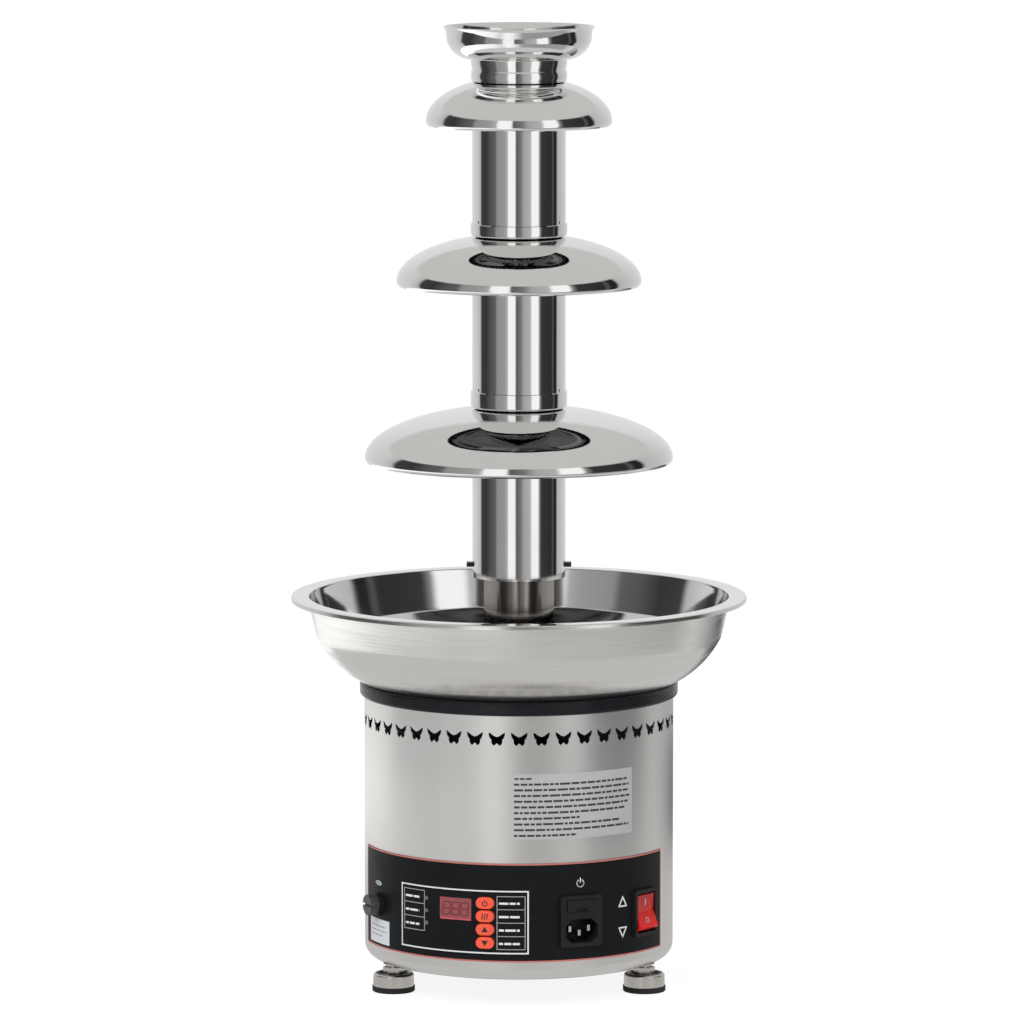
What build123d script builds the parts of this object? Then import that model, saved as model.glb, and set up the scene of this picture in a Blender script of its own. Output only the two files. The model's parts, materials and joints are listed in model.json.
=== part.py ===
from build123d import *
from math import acos, cos, degrees, pi, radians, sin, sqrt, tan
import os

# A table-top chocolate fountain: a stainless drum on three levelling feet holds a gear motor,
# a heater and the controls, a bowl sits on top of it, and an auger lifts the chocolate up a
# tube that carries three domed tiers and a crown cup.
# Millimetres, +Z up, the front of the controls faces -Y, the origin is on the floor under the axis.

# Drum and collar
foot_height = 20.0
drum_radius = 108.8
drum_height = 186.0
drum_sheet = 1.0
drum_corner = 10.0
drum_floor_opening = 84.0
collar_radius = 112.0
collar_height = 10.0
collar_width = 13.0
collar_skirt = 4.0
deck_drop = 28.0
deck_sheet = 2.0
deck_flange = 12.0
cover_sheet = 1.5
collar_round = 2.4
collar_skirt_wall = 2.0
screw_radius = 1.6
screw_head_radius = 3.0
screw_head_height = 2.0
lead_radius = 1.3
lead_bend = 7.0

# Bowl
bowl_depth = 66.0
bowl_lift = 4.0
bowl_rim_radius = 160.0
bowl_wall_radius = 149.0
bowl_waist_radius = 142.2
bowl_waist_depth = 29.0
bowl_haunch = (127.5, 48.2)
bowl_foot = (108.0, 60.8)
bowl_floor_radius = 88.0
bowl_sheet = 1.2
rim_hem = 3.0

# Tower
tier_radii = {3: 108.0, 2: 85.7, 1: 65.0}
tier_heights = {3: 36.2, 2: 33.5, 1: 31.6}
tier_levels = {3: 373.5, 2: 497.5, 1: 609.5}
tier_sheet = 1.2
tier_skirt = 3.0
skirt_curl = 1.4
sleeve_radius = 32.7
sleeve_sheet = 1.0
sleeve_end_level = 289.4
ring_radius = 33.8
ring_width = 3.8
ring_heights = {2: 12.0, 1: 9.0}
ring_spigot = 7.0
ring_round = 2.4
spot_radius = 1.1
spot_angle = 60.0
tube_radius = 24.75
tube_sheet = 1.0
tube_top_level = 656.0
tube_flange_radius = 34.0
tube_flange_sheet = 1.5
inflow_width = 24.0
inflow_height = 15.0
tower_pin_radius = 2.0
tower_pin_reach = 36.8
tower_pin_level = 297.8
peg_radius = 2.5
peg_circle = 29.5
peg_height = 8.0

# Crown cup
cup_lip_level = 675.8
cup_lip_radius = 52.7
cup_wall_radius = 51.2
cup_lip_depth = 3.0
cup_shoulder_depth = 9.5
cup_turn = (47.3, 16.2)
cup_floor_depth = 22.8
cup_floor_radius = 36.5
neck_radius = 33.6
neck_wall = 2.0
neck_groove_level = 645.8
neck_groove_width = 0.9
neck_groove_depth = 0.6

# Auger and drive
auger_core_radius = 6.0
auger_flight_radius = 23.2
auger_flight_sheet = 2.0
auger_pitch = 44.0
auger_hub_radius = 9.0
auger_hub_height = 21.0
auger_top_level = 654.0
shaft_radius = 5.0
hex_across = 8.6
hex_length = 14.0
hub_flange_radius = 21.0
hub_flange_height = 4.0
hub_sleeve_radius = 11.0
hub_bore_radius = 8.0
bush_length = 20.0
seal_height = 4.0
hub_nut_height = 8.0
hub_nut_across = 32.0

# Heater under the bowl
heater_inner = 36.0
heater_outer = 88.0
heater_thick = 4.0
clamp_sheet = 1.5
clamp_neck_radius = 18.0
clamp_foot_radius = 23.0
cutout_radius = 8.0
cutout_height = 6.0
cutout_place = 60.0

# Gear motor
gear_module = 1.0
gear_face = 9.0
pressure_angle = 20.0
tooth_addendum = 0.8
tooth_dedendum = 1.1
tooth_backlash = 0.16
pinion_teeth = 16
wheel_teeth = 48
output_teeth = 56
case_wall = 3.0
case_height = 30.0
case_room = 2.5
case_drop = 16.0
idler_shaft_radius = 3.0
motor_shaft_radius = 3.0
can_radius = 30.0
can_wall = 1.5
can_height = 78.0
stator_height = 42.0
stator_wall = 8.5
armature_gap = 0.8
post_radius = 4.0
post_places = ((0.0, -28.0), (27.0, 12.0), (16.0, 56.0), (-38.0, 38.0))

# Controls on the drum's front, by angle from the front (positive to the right) and by height
panel_angles = (-76.0, 65.0)
panel_levels = (33.7, 102.9)
panel_sheet = 0.6
display_angle = -23.9
display_level = 69.9
display_size = (24.0, 15.7)
button_angle = -12.4
button_level = 75.2
button_pitch = 9.3
button_size = (13.0, 8.2)
button_proud = 2.0
button_flange = 1.2
button_stem = 9.0
button_stem_radius = 2.0
light_angle = -35.9
light_level = 75.6
light_pitch = 8.7
light_radius = 1.5
light_proud = 0.6
board_radius = 92.0
board_size = (62.0, 52.0)
board_sheet = 1.6
board_level = 62.0
lead_local = (-18.0, 16.0)
lead_standoff = 14.0
inlet_angle = 22.8
inlet_level = 61.7
inlet_bezel = (31.0, 36.0)
inlet_body_size = (27.0, 32.0)
inlet_depth = 26.0
inlet_proud = 2.6
socket_size = (24.0, 16.6)
socket_chamfer = 4.5
socket_depth = 16.5
socket_drop = 6.8
pin_size = (4.0, 2.0)
pin_length = 12.0
pin_spread = 7.0
drawer_size = (22.0, 8.0)
drawer_depth = 18.0
drawer_rise = 11.0
drawer_proud = 0.8
switch_angle = 52.8
switch_level = 61.5
switch_bezel = (25.0, 33.0)
switch_window = (20.6, 27.8)
switch_body_size = (22.6, 30.0)
switch_depth = 20.0
switch_proud = 2.4
rocker_reach = 13.6
rocker_pivot_depth = 4.0
rocker_rise = 3.4
rocker_dip = 0.8
rocker_tilt = 9.0
fuse_angle = -63.8
fuse_level = 64.0
fuse_flange_radius = 8.2
fuse_flange_height = 2.4
fuse_body_radius = 6.5
fuse_body_depth = 26.0
fuse_cap_radius = 7.2
fuse_cap_height = 6.5
fuse_plug_radius = 4.6
fuse_plug_length = 16.0

# Butterfly vents round the drum's top
vent_count = 44
vent_drop = 16.0
vent_width = 11.2
vent_height = 9.4

# Feet
foot_circle = 95.0
foot_angles = (-68.0, 68.0, 180.0)
pad_radius = 15.0
pad_height = 4.0
cap_radius = 14.5
cap_height = 9.0
cap_wall = 1.2
cap_dish = 1.2
stud_radius = 4.0
stud_length = 34.0
stud_hex_across = 13.0
stud_hex_height = 5.0
stud_head_radius = 6.5
stud_head_height = 2.0
insert_radius = 5.6
insert_height = 9.0

# Clearances
seat_gap = 0.3
slide_gap = 0.4
bond_gap = 0.05
running_gap = 0.05
drop_gap = 0.4

# Levels that follow from the sizes above
drum_top = foot_height + drum_height
bowl_base = drum_top + bowl_lift
bowl_rim = bowl_base + bowl_depth
bowl_floor = bowl_base + bowl_sheet
deck_top = drum_top - deck_drop
deck_under = deck_top - deck_sheet
case_top = deck_under - case_drop
case_base = case_top - case_height
drum_inner = drum_radius - drum_sheet
panel_radius = drum_radius + panel_sheet
tube_inner = tube_radius - tube_sheet
tube_end = bowl_floor + seat_gap
tier_bore = tube_radius + slide_gap
sleeve_inner = sleeve_radius - sleeve_sheet
clamp_top = bowl_base - heater_thick
hub_bush_top = bowl_floor + hub_flange_height - seal_height / 2

cover_under = case_top - case_wall
wheel_level = case_base + case_wall + case_room
output_level = wheel_level + gear_face + case_room
can_base = case_base - can_height
idler_place = (0, gear_module * (output_teeth + pinion_teeth) / 2)
motor_place = (-gear_module * (wheel_teeth + pinion_teeth) / 2, idler_place[1])
hub_end = deck_under - hub_nut_height - 2
hub_top = bowl_floor + hub_flange_height
auger_base = hub_top + seal_height
insert_bore = stud_radius + running_gap

os.makedirs("parts", exist_ok=True)


def save(piece, node):
    """Label a finished piece and write it under its node's name."""
    piece.part.label = node
    export_step(piece.part, f"parts/{node}.step")


def on_drum(angle, level, radius):
    """A plane square to the drum's radius: x runs to the viewer's right, y up and z outwards."""
    turn = radians(angle)
    out = (sin(turn), -cos(turn), 0)
    return Plane(
        origin=(radius * out[0], radius * out[1], level),
        x_dir=(cos(turn), sin(turn), 0),
        z_dir=out,
    )


def around(radius, angle):
    """The point at an angle from the front on a circle about the axis."""
    return (radius * sin(radians(angle)), -radius * cos(radians(angle)))


def bowl_section():
    """Half of the bowl's filled section, from the flange down to the flat floor."""
    def at(radius, depth):
        return (radius, bowl_rim - depth)
    waist = at(bowl_waist_radius, bowl_waist_depth)
    foot = at(*bowl_foot)
    Polyline((0, bowl_base), (0, bowl_rim), (bowl_wall_radius, bowl_rim), waist)
    ThreePointArc(waist, at(*bowl_haunch), foot)
    TangentArc((bowl_floor_radius, bowl_base), foot, tangent=(1, 0))
    Line((bowl_floor_radius, bowl_base), (0, bowl_base))


def window(angle, level, width, height, corner, depth):
    """A cutter through the drum's wall and panel, rounded at its corners."""
    with BuildSketch(on_drum(angle, level, drum_radius + 1)) as shape:
        RectangleRounded(width, height, corner)
    return extrude(shape.sketch, amount=-depth, mode=Mode.PRIVATE)


def round_window(angle, level, radius, depth):
    """A round cutter through the drum's wall and panel."""
    with BuildSketch(on_drum(angle, level, drum_radius + 1)) as shape:
        Circle(radius)
    return extrude(shape.sketch, amount=-depth, mode=Mode.PRIVATE)


def panel_windows(depth):
    """Every cut-out that the panel and the drum's wall share."""
    cutters = [
        window(display_angle, display_level, *display_size, 0.6, depth),
        window(inlet_angle, inlet_level, *inlet_body_size, 1.0, depth),
        window(switch_angle, switch_level, *switch_body_size, 1.0, depth),
        round_window(fuse_angle, fuse_level, fuse_body_radius, depth),
    ]
    for row in range(4):
        level = button_level - row * button_pitch
        width = button_size[0] + 2 * seat_gap
        height = button_size[1] + 2 * seat_gap
        cutters.append(window(button_angle, level, width, height, height / 2 - 0.01, depth))
    for row in range(3):
        level = light_level - row * light_pitch
        cutters.append(round_window(light_angle, level, light_radius, depth))
    return cutters


# Drum shell: a spun wall with a rounded foot, butterfly vents and the windows of the controls
def butterfly(plane):
    """One vent's outline: two upper wings with a notch between, and two small lower wings."""
    wing = vent_width / 2
    rise = vent_height / 2
    with BuildSketch(plane) as outline:
        with BuildLine():
            waist = (0.66 * wing, -0.16 * rise)
            tail = (0.34 * wing, -rise)
            Polyline((0, 0.30 * rise), (0.30 * wing, 0.42 * rise), (wing, rise))
            ThreePointArc((wing, rise), (0.93 * wing, 0.30 * rise), waist)
            ThreePointArc(waist, (0.62 * wing, -0.70 * rise), tail)
            Line(tail, (0, -0.62 * rise))
            mirror(about=Plane.YZ)
        make_face()
    return outline.sketch


with BuildPart() as drum_shell:
    with BuildSketch(Plane.XZ):
        with BuildLine():
            corner = (drum_radius - drum_corner, foot_height + drum_corner)
            Line((drum_radius, drum_top), (drum_radius, corner[1]))
            CenterArc(corner, drum_corner, 0, -90)
            Polyline(
                (corner[0], foot_height),
                (drum_floor_opening, foot_height),
                (drum_floor_opening, foot_height + drum_sheet),
                (corner[0], foot_height + drum_sheet),
            )
            CenterArc(corner, drum_corner - drum_sheet, -90, 90)
            Polyline((drum_inner, corner[1]), (drum_inner, drum_top), (drum_radius, drum_top))
        make_face()
    revolve(axis=Axis.Z)
    cutters = panel_windows(4 * drum_sheet)
    for step in range(vent_count):
        plane = on_drum(step * 360 / vent_count, drum_top - vent_drop, drum_radius + 1)
        cutters.append(extrude(butterfly(plane), amount=-4 * drum_sheet, mode=Mode.PRIVATE))
    for angle in foot_angles:
        with BuildSketch(Plane.XY.offset(foot_height - 1)) as hole:
            with Locations(around(foot_circle, angle)):
                Circle(insert_radius)
        cutters.append(extrude(hole.sketch, amount=2 + drum_sheet, mode=Mode.PRIVATE))
    add(cutters, mode=Mode.SUBTRACT)
save(drum_shell, "drum_shell")

# Bottom cover: a slotted plate that lies on the drum's inner flange and is screwed down to it
flange_top = foot_height + drum_sheet
screw_circle = drum_floor_opening + 3
with BuildPart() as bottom_cover:
    with BuildSketch(Plane.XY.offset(flange_top)):
        Circle(drum_floor_opening + 6)
        for angle in foot_angles:
            with Locations(around(foot_circle, angle)):
                Circle(insert_radius + 2, mode=Mode.SUBTRACT)
        for ring in (26.0, 40.0, 54.0):
            with PolarLocations(ring, 10):
                SlotOverall(10.0, 3.0, rotation=90, mode=Mode.SUBTRACT)
        with PolarLocations(screw_circle, 6):
            Circle(screw_radius, mode=Mode.SUBTRACT)
    extrude(amount=cover_sheet)
save(bottom_cover, "bottom_cover")

# Deck: the plate inside the drum, under the vents, that carries the motor and the bowl's hub
board_plane = on_drum(display_angle, board_level, board_radius)
lead_rise = board_plane.from_local_coords((*lead_local, -lead_standoff))
lead_hole = (lead_rise.X, lead_rise.Y)
with BuildPart() as deck_plate:
    with BuildSketch(Plane.XY.offset(deck_under)):
        Circle(drum_inner)
        Circle(hub_sleeve_radius + seat_gap, mode=Mode.SUBTRACT)
        with Locations(post_places):
            Circle(screw_radius, mode=Mode.SUBTRACT)
        with Locations(lead_hole):
            Circle(2 * lead_radius, mode=Mode.SUBTRACT)
    extrude(amount=deck_sheet)
    with BuildSketch(Plane.XY.offset(deck_under - deck_flange)):
        Circle(drum_inner)
        Circle(drum_inner - deck_sheet, mode=Mode.SUBTRACT)
    extrude(amount=deck_flange)
save(deck_plate, "deck_plate")

# Collar: the glossy ring on the drum's edge, shaped on its inside to the bowl that lies in it
with BuildPart() as collar_ring:
    with BuildSketch(Plane.XY.offset(drum_top)):
        Circle(collar_radius)
        Circle(collar_radius - collar_width, mode=Mode.SUBTRACT)
    extrude(amount=collar_height)
    outer_edges = collar_ring.edges().filter_by(GeomType.CIRCLE).group_by(SortBy.RADIUS)[-1]
    fillet(outer_edges, collar_round)
    with BuildSketch(Plane.XY.offset(drum_top - collar_skirt)):
        Circle(drum_inner - seat_gap)
        Circle(drum_inner - seat_gap - collar_skirt_wall, mode=Mode.SUBTRACT)
    extrude(amount=collar_skirt)
    with BuildSketch(Plane.XZ):
        with BuildLine():
            bowl_section()
        make_face()
    revolve(axis=Axis.Z, mode=Mode.SUBTRACT)
save(collar_ring, "collar_ring")

# Bowl: a spun basin with a flat flange, its edge hemmed down, and a hole for the hub
with BuildPart() as bowl:
    with BuildSketch(Plane.XZ):
        with BuildLine():
            bowl_section()
        make_face()
    revolve(axis=Axis.Z)
    offset(amount=-bowl_sheet, openings=bowl.faces().sort_by(Axis.Z)[-1])
    with BuildSketch(Plane.XY.offset(bowl_rim - bowl_sheet)):
        Circle(bowl_rim_radius)
        Circle(bowl_wall_radius - bowl_sheet, mode=Mode.SUBTRACT)
    extrude(amount=bowl_sheet)
    with BuildSketch(Plane.XY.offset(bowl_rim - rim_hem)):
        Circle(bowl_rim_radius)
        Circle(bowl_rim_radius - bowl_sheet, mode=Mode.SUBTRACT)
    extrude(amount=rim_hem)
    rim_edges = bowl.edges().filter_by(GeomType.CIRCLE).group_by(SortBy.RADIUS)[-1]
    fillet(rim_edges.sort_by(Axis.Z)[-1], 0.8 * bowl_sheet)
    with BuildSketch(Plane.XY.offset(bowl_base)):
        Circle(hub_sleeve_radius)
    extrude(amount=bowl_sheet, mode=Mode.SUBTRACT)
save(bowl, "bowl")

# Hub: a flanged sleeve that clamps the bowl's floor, the heater's clamp and the deck together
with BuildPart() as bowl_hub:
    with BuildSketch(Plane.XY.offset(hub_end)):
        Circle(hub_sleeve_radius)
    extrude(amount=hub_top - hub_end)
    with BuildSketch(Plane.XY.offset(bowl_floor)):
        Circle(hub_flange_radius)
    extrude(amount=hub_flange_height)
    fillet(bowl_hub.edges().filter_by(GeomType.CIRCLE).group_by(SortBy.RADIUS)[-1].sort_by(Axis.Z)[-1], 2.0)
    with BuildSketch(Plane.XY.offset(hub_end)):
        Circle(hub_bore_radius)
    extrude(amount=hub_top - hub_end, mode=Mode.SUBTRACT)
save(bowl_hub, "bowl_hub")

with BuildPart() as hub_nut:
    with BuildSketch(Plane.XY.offset(deck_under - hub_nut_height)):
        RegularPolygon(hub_nut_across / 2, 6, major_radius=False)
        Circle(hub_sleeve_radius, mode=Mode.SUBTRACT)
    extrude(amount=hub_nut_height)
save(hub_nut, "hub_nut")

with BuildPart() as hub_bush:
    with BuildSketch(Plane.XY.offset(hub_bush_top - bush_length)):
        Circle(hub_bore_radius)
        Circle(shaft_radius + running_gap, mode=Mode.SUBTRACT)
    extrude(amount=bush_length)
save(hub_bush, "hub_bush")

with BuildPart() as shaft_seal:
    with BuildSketch(Plane.XY.offset(hub_bush_top)):
        Circle(hub_bore_radius)
    extrude(amount=seal_height)
    with BuildSketch(Plane.XY.offset(hub_top)):
        Circle(hub_bore_radius + 2)
    extrude(amount=seal_height / 2)
    with BuildSketch(Plane.XY.offset(hub_bush_top)):
        Circle(shaft_radius + running_gap)
    extrude(amount=seal_height, mode=Mode.SUBTRACT)
save(shaft_seal, "shaft_seal")

# Three pegs on the bowl's floor hold the tube's flange in line with the drive
with BuildPart() as locating_pegs:
    with BuildSketch(Plane.XY.offset(bowl_floor)):
        with PolarLocations(peg_circle, 3):
            Circle(peg_radius)
    extrude(amount=peg_height)
    chamfer(locating_pegs.faces().group_by(Axis.Z)[-1].edges(), 0.8)
save(locating_pegs, "locating_pegs")

# Heater: a flat ring pressed against the bowl's floor by a clamp plate on a hat-shaped neck
with BuildPart() as heater_ring:
    with BuildSketch(Plane.XY.offset(clamp_top)):
        Circle(heater_outer)
        Circle(heater_inner, mode=Mode.SUBTRACT)
    extrude(amount=heater_thick)
save(heater_ring, "heater_ring")

with BuildPart() as heater_clamp:
    with BuildSketch(Plane.XY.offset(clamp_top - clamp_sheet)):
        Circle(heater_outer)
    extrude(amount=clamp_sheet)
    with BuildSketch(Plane.XY.offset(deck_top)):
        Circle(clamp_neck_radius)
    extrude(amount=clamp_top - deck_top)
    with BuildSketch(Plane.XY.offset(deck_top)):
        Circle(clamp_foot_radius)
    extrude(amount=clamp_sheet)
    with BuildSketch(Plane.XY.offset(deck_top)):
        Circle(clamp_neck_radius - clamp_sheet)
    extrude(amount=clamp_top - deck_top, mode=Mode.SUBTRACT)
save(heater_clamp, "heater_clamp")

with BuildPart() as heat_sensors:
    with BuildSketch(Plane.XY.offset(clamp_top - clamp_sheet - cutout_height)):
        with Locations((0, cutout_place)):
            Circle(cutout_radius)
        with Locations((cutout_place, 0)):
            RectangleRounded(2 * cutout_radius, cutout_radius, 1.5)
    extrude(amount=cutout_height)
save(heat_sensors, "heat_sensors")


# Gear motor: a case with a two-stage spur train, its cover on posts under the deck, and the motor
def tip_radius(teeth):
    return gear_module * (teeth / 2 + tooth_addendum)


def spur_gear(teeth, phase, place, level):
    """A spur gear's involute outline at its place and level; one tooth points along the phase."""
    pitch = gear_module * teeth / 2
    base = pitch * cos(radians(pressure_angle))
    tip = tip_radius(teeth)
    root = pitch - gear_module * tooth_dedendum
    start = max(base, root)
    middle = (start + tip) / 2
    tooth_step = 2 * pi / teeth

    def half_width(radius):
        slope = acos(min(1.0, base / radius))
        spread = tan(radians(pressure_angle)) - radians(pressure_angle) - tan(slope) + slope
        return tooth_step / 4 - tooth_backlash / (2 * pitch) + spread

    def at(radius, turn):
        return (radius * cos(turn), radius * sin(turn))

    with BuildSketch(Plane(origin=(*place, level))) as outline:
        with BuildLine():
            for tooth in range(teeth):
                axis = radians(phase) + tooth * tooth_step
                low = half_width(start)
                mid = half_width(middle)
                high = half_width(tip)
                if base > root:
                    Line(at(root, axis - low), at(start, axis - low))
                    Line(at(start, axis + low), at(root, axis + low))
                ThreePointArc(at(start, axis - low), at(middle, axis - mid), at(tip, axis - high))
                ThreePointArc(at(tip, axis - high), at(tip, axis), at(tip, axis + high))
                ThreePointArc(at(tip, axis + high), at(middle, axis + mid), at(start, axis + low))
                gap = axis + tooth_step / 2
                ThreePointArc(
                    at(root, axis + low), at(root, gap), at(root, axis + tooth_step - low)
                )
        make_face()
    return outline.sketch


def case_outline(level, inset):
    """The gearbox's outline: a line pulled tight round the three gears, with their running room."""
    with BuildSketch(Plane.XY.offset(level)) as outline:
        reach = case_room + case_wall - inset
        Circle(tip_radius(output_teeth) + reach)
        with Locations(idler_place):
            Circle(tip_radius(wheel_teeth) + reach)
        with Locations(motor_place):
            Circle(tip_radius(pinion_teeth) + reach)
        make_hull()
    return outline.sketch


boss_room = 1.2
with BuildPart() as gearbox_case:
    extrude(case_outline(case_base, 0), amount=cover_under - case_base)
    extrude(case_outline(case_base + case_wall, case_wall), amount=case_height, mode=Mode.SUBTRACT)
    with BuildSketch(Plane.XY.offset(case_base + case_wall)):
        Circle(auger_hub_radius)
    extrude(amount=output_level - case_base - case_wall - boss_room)
    with BuildSketch(Plane.XY.offset(case_base + case_wall)):
        with Locations(idler_place):
            Circle(2 * idler_shaft_radius)
    extrude(amount=case_room - seat_gap)
    with BuildSketch(Plane.XY.offset(case_base + 1)):
        Circle(shaft_radius + running_gap)
        with Locations(idler_place):
            Circle(idler_shaft_radius + running_gap)
    extrude(amount=case_height, mode=Mode.SUBTRACT)
    with BuildSketch(Plane.XY.offset(case_base)):
        with Locations(motor_place):
            Circle(motor_shaft_radius + running_gap)
    extrude(amount=case_wall, mode=Mode.SUBTRACT)
save(gearbox_case, "gearbox_case")

with BuildPart() as gearbox_cover:
    extrude(case_outline(cover_under, 0), amount=case_wall)
    with BuildSketch(Plane.XY.offset(case_top)):
        with Locations(post_places):
            Circle(post_radius)
    extrude(amount=case_drop)
    with BuildSketch(Plane.XY.offset(cover_under)):
        Circle(shaft_radius + running_gap)
        with Locations(idler_place):
            Circle(idler_shaft_radius + running_gap)
    extrude(amount=case_wall, mode=Mode.SUBTRACT)
    with BuildSketch(Plane.XY.offset(case_top)):
        with Locations(post_places):
            Circle(screw_radius)
    extrude(amount=case_drop, mode=Mode.SUBTRACT)
save(gearbox_cover, "gearbox_cover")

# Screws: six hold the bottom cover and four hold the gear motor's posts to the deck
with BuildPart() as screws:
    with BuildSketch(Plane.XY.offset(flange_top)):
        with PolarLocations(screw_circle, 6):
            Circle(screw_radius)
    extrude(amount=cover_sheet)
    with BuildSketch(Plane.XY.offset(flange_top + cover_sheet)):
        with PolarLocations(screw_circle, 6):
            Circle(screw_head_radius)
    extrude(amount=screw_head_height)
    with BuildSketch(Plane.XY.offset(deck_under - case_drop / 2)):
        with Locations(post_places):
            Circle(screw_radius)
    extrude(amount=deck_sheet + case_drop / 2)
    with BuildSketch(Plane.XY.offset(deck_top)):
        with Locations(post_places):
            Circle(screw_head_radius)
    extrude(amount=screw_head_height)
save(screws, "screws")

stator_level = can_base + (can_height - stator_height) / 2
with BuildPart() as motor_can:
    with BuildSketch(Plane.XY.offset(can_base)):
        with Locations(motor_place):
            Circle(can_radius)
    extrude(amount=can_height)
    with BuildSketch(Plane.XY.offset(can_base + can_wall)):
        with Locations(motor_place):
            Circle(can_radius - can_wall)
            Circle(2 * motor_shaft_radius, mode=Mode.SUBTRACT)
    extrude(amount=stator_level - can_base - 2 * can_wall - 4, mode=Mode.SUBTRACT)
    with BuildSketch(Plane.XY.offset(stator_level - can_wall - 4)):
        with Locations(motor_place):
            Circle(can_radius - can_wall)
    extrude(amount=case_base - stator_level + 4, mode=Mode.SUBTRACT)
    with BuildSketch(Plane.XY.offset(can_base + can_wall)):
        with Locations(motor_place):
            Circle(motor_shaft_radius + running_gap)
    extrude(amount=can_height, mode=Mode.SUBTRACT)
save(motor_can, "motor_can")

with BuildPart() as motor_stator:
    with BuildSketch(Plane.XY.offset(stator_level)):
        with Locations(motor_place):
            Circle(can_radius - can_wall)
            Circle(can_radius - can_wall - stator_wall, mode=Mode.SUBTRACT)
    extrude(amount=stator_height)
save(motor_stator, "motor_stator")

with BuildPart() as motor_rotor:
    with BuildSketch(Plane.XY.offset(can_base + can_wall + seat_gap)):
        with Locations(motor_place):
            Circle(motor_shaft_radius)
    extrude(amount=wheel_level - can_base - can_wall - seat_gap)
    with BuildSketch(Plane.XY.offset(stator_level)):
        with Locations(motor_place):
            Circle(can_radius - can_wall - stator_wall - armature_gap)
    extrude(amount=stator_height)
    extrude(spur_gear(pinion_teeth, 0, motor_place, wheel_level), amount=gear_face)
save(motor_rotor, "motor_rotor")

with BuildPart() as idler_gear:
    with BuildSketch(Plane.XY.offset(case_base + 1 + seat_gap)):
        with Locations(idler_place):
            Circle(idler_shaft_radius)
    extrude(amount=case_height - 1 - 2 * seat_gap)
    extrude(spur_gear(wheel_teeth, 180 + 180 / wheel_teeth, idler_place, wheel_level), amount=gear_face)
    extrude(
        spur_gear(pinion_teeth, -90, idler_place, wheel_level + gear_face),
        amount=output_level - wheel_level,
    )
save(idler_gear, "idler_gear")

with BuildPart() as output_gear:
    extrude(spur_gear(output_teeth, 90 + 180 / output_teeth, (0, 0), output_level), amount=gear_face)
    with BuildSketch(Plane.XY.offset(output_level - boss_room + seat_gap)):
        Circle(auger_hub_radius)
    extrude(amount=boss_room - seat_gap)
    with BuildSketch(Plane.XY.offset(output_level - boss_room)):
        Circle(shaft_radius)
    extrude(amount=gear_face + boss_room, mode=Mode.SUBTRACT)
save(output_gear, "output_gear")

with BuildPart() as drive_shaft:
    with BuildSketch(Plane.XY.offset(case_base + 1 + seat_gap)):
        Circle(shaft_radius)
    extrude(amount=auger_base - seat_gap - case_base - 1 - seat_gap)
    with BuildSketch(Plane.XY.offset(auger_base - seat_gap)):
        RegularPolygon(hex_across / 2, 6, major_radius=False)
    extrude(amount=hex_length)
save(drive_shaft, "drive_shaft")

# Overlay panel: a thin black sheet bonded round the drum's front
start_turn = radians(panel_angles[0])
panel_start = Plane(
    origin=(0, 0, 0),
    x_dir=(sin(start_turn), -cos(start_turn), 0),
    z_dir=(-cos(start_turn), -sin(start_turn), 0),
)
with BuildPart() as overlay_panel:
    with BuildSketch(panel_start):
        with BuildLine():
            Polyline(
                (drum_radius + bond_gap, panel_levels[0]),
                (panel_radius, panel_levels[0]),
                (panel_radius, panel_levels[1]),
                (drum_radius + bond_gap, panel_levels[1]),
                close=True,
            )
        make_face()
    revolve(axis=Axis.Z, revolution_arc=panel_angles[1] - panel_angles[0])
    add(panel_windows(4 * drum_sheet), mode=Mode.SUBTRACT)
save(overlay_panel, "overlay_panel")

# Control board on posts from the drum's wall, with its display and the light pipes
with BuildPart() as control_board:
    with BuildSketch(board_plane.offset(board_sheet)):
        with GridLocations(board_size[0] - 6, board_size[1] - 6, 2, 2):
            Circle(2.5)
    extrude(amount=drum_radius - board_radius)
    Cylinder(drum_inner, 4 * drum_height, mode=Mode.INTERSECT)
    with BuildSketch(board_plane):
        Rectangle(*board_size)
    extrude(amount=board_sheet)
    with BuildSketch(board_plane):
        with Locations((12, 10)):
            Rectangle(28, 24)
    extrude(amount=-18)
    with BuildSketch(board_plane):
        with Locations((-19, -12)):
            Rectangle(16, 20)
    extrude(amount=-13)
save(control_board, "control_board")

with BuildPart() as display_module:
    front = on_drum(display_angle, display_level, board_radius + board_sheet)
    with BuildSketch(front):
        Rectangle(display_size[0] + 4, display_size[1] + 4)
    extrude(amount=8)
    with BuildSketch(front):
        RectangleRounded(display_size[0] - 0.2, display_size[1] - 0.2, 0.6)
    extrude(amount=drum_radius - board_radius - board_sheet)
save(display_module, "display_module")

light_start = (board_radius + board_sheet) / cos(radians(light_angle - display_angle)) + seat_gap
with BuildPart() as status_lights:
    for row in range(3):
        with BuildSketch(on_drum(light_angle, light_level - row * light_pitch, light_start)):
            Circle(light_radius - running_gap)
        extrude(amount=panel_radius + light_proud - light_start)
save(status_lights, "status_lights")

# Buttons: four ovals through the panel, each with a retaining flange behind the wall and a stem
flange_depth = panel_sheet + drum_sheet + 2 * seat_gap
for number in range(4):
    plane = on_drum(button_angle, button_level - number * button_pitch, panel_radius)
    with BuildPart() as button:
        with BuildSketch(plane.offset(-flange_depth)):
            SlotOverall(button_size[0], button_size[1])
        extrude(amount=flange_depth + button_proud)
        fillet(button.faces().sort_by(Axis(plane.origin, plane.z_dir))[-1].edges(), 0.8)
        with BuildSketch(plane.offset(-flange_depth - button_flange)):
            RectangleRounded(button_size[0] + 3, button_size[1], 1.0)
        extrude(amount=button_flange)
        with BuildSketch(plane.offset(-flange_depth - button_flange)):
            Circle(button_stem_radius)
        extrude(amount=-button_stem)
    save(button, f"button_{number + 1}")

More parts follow.
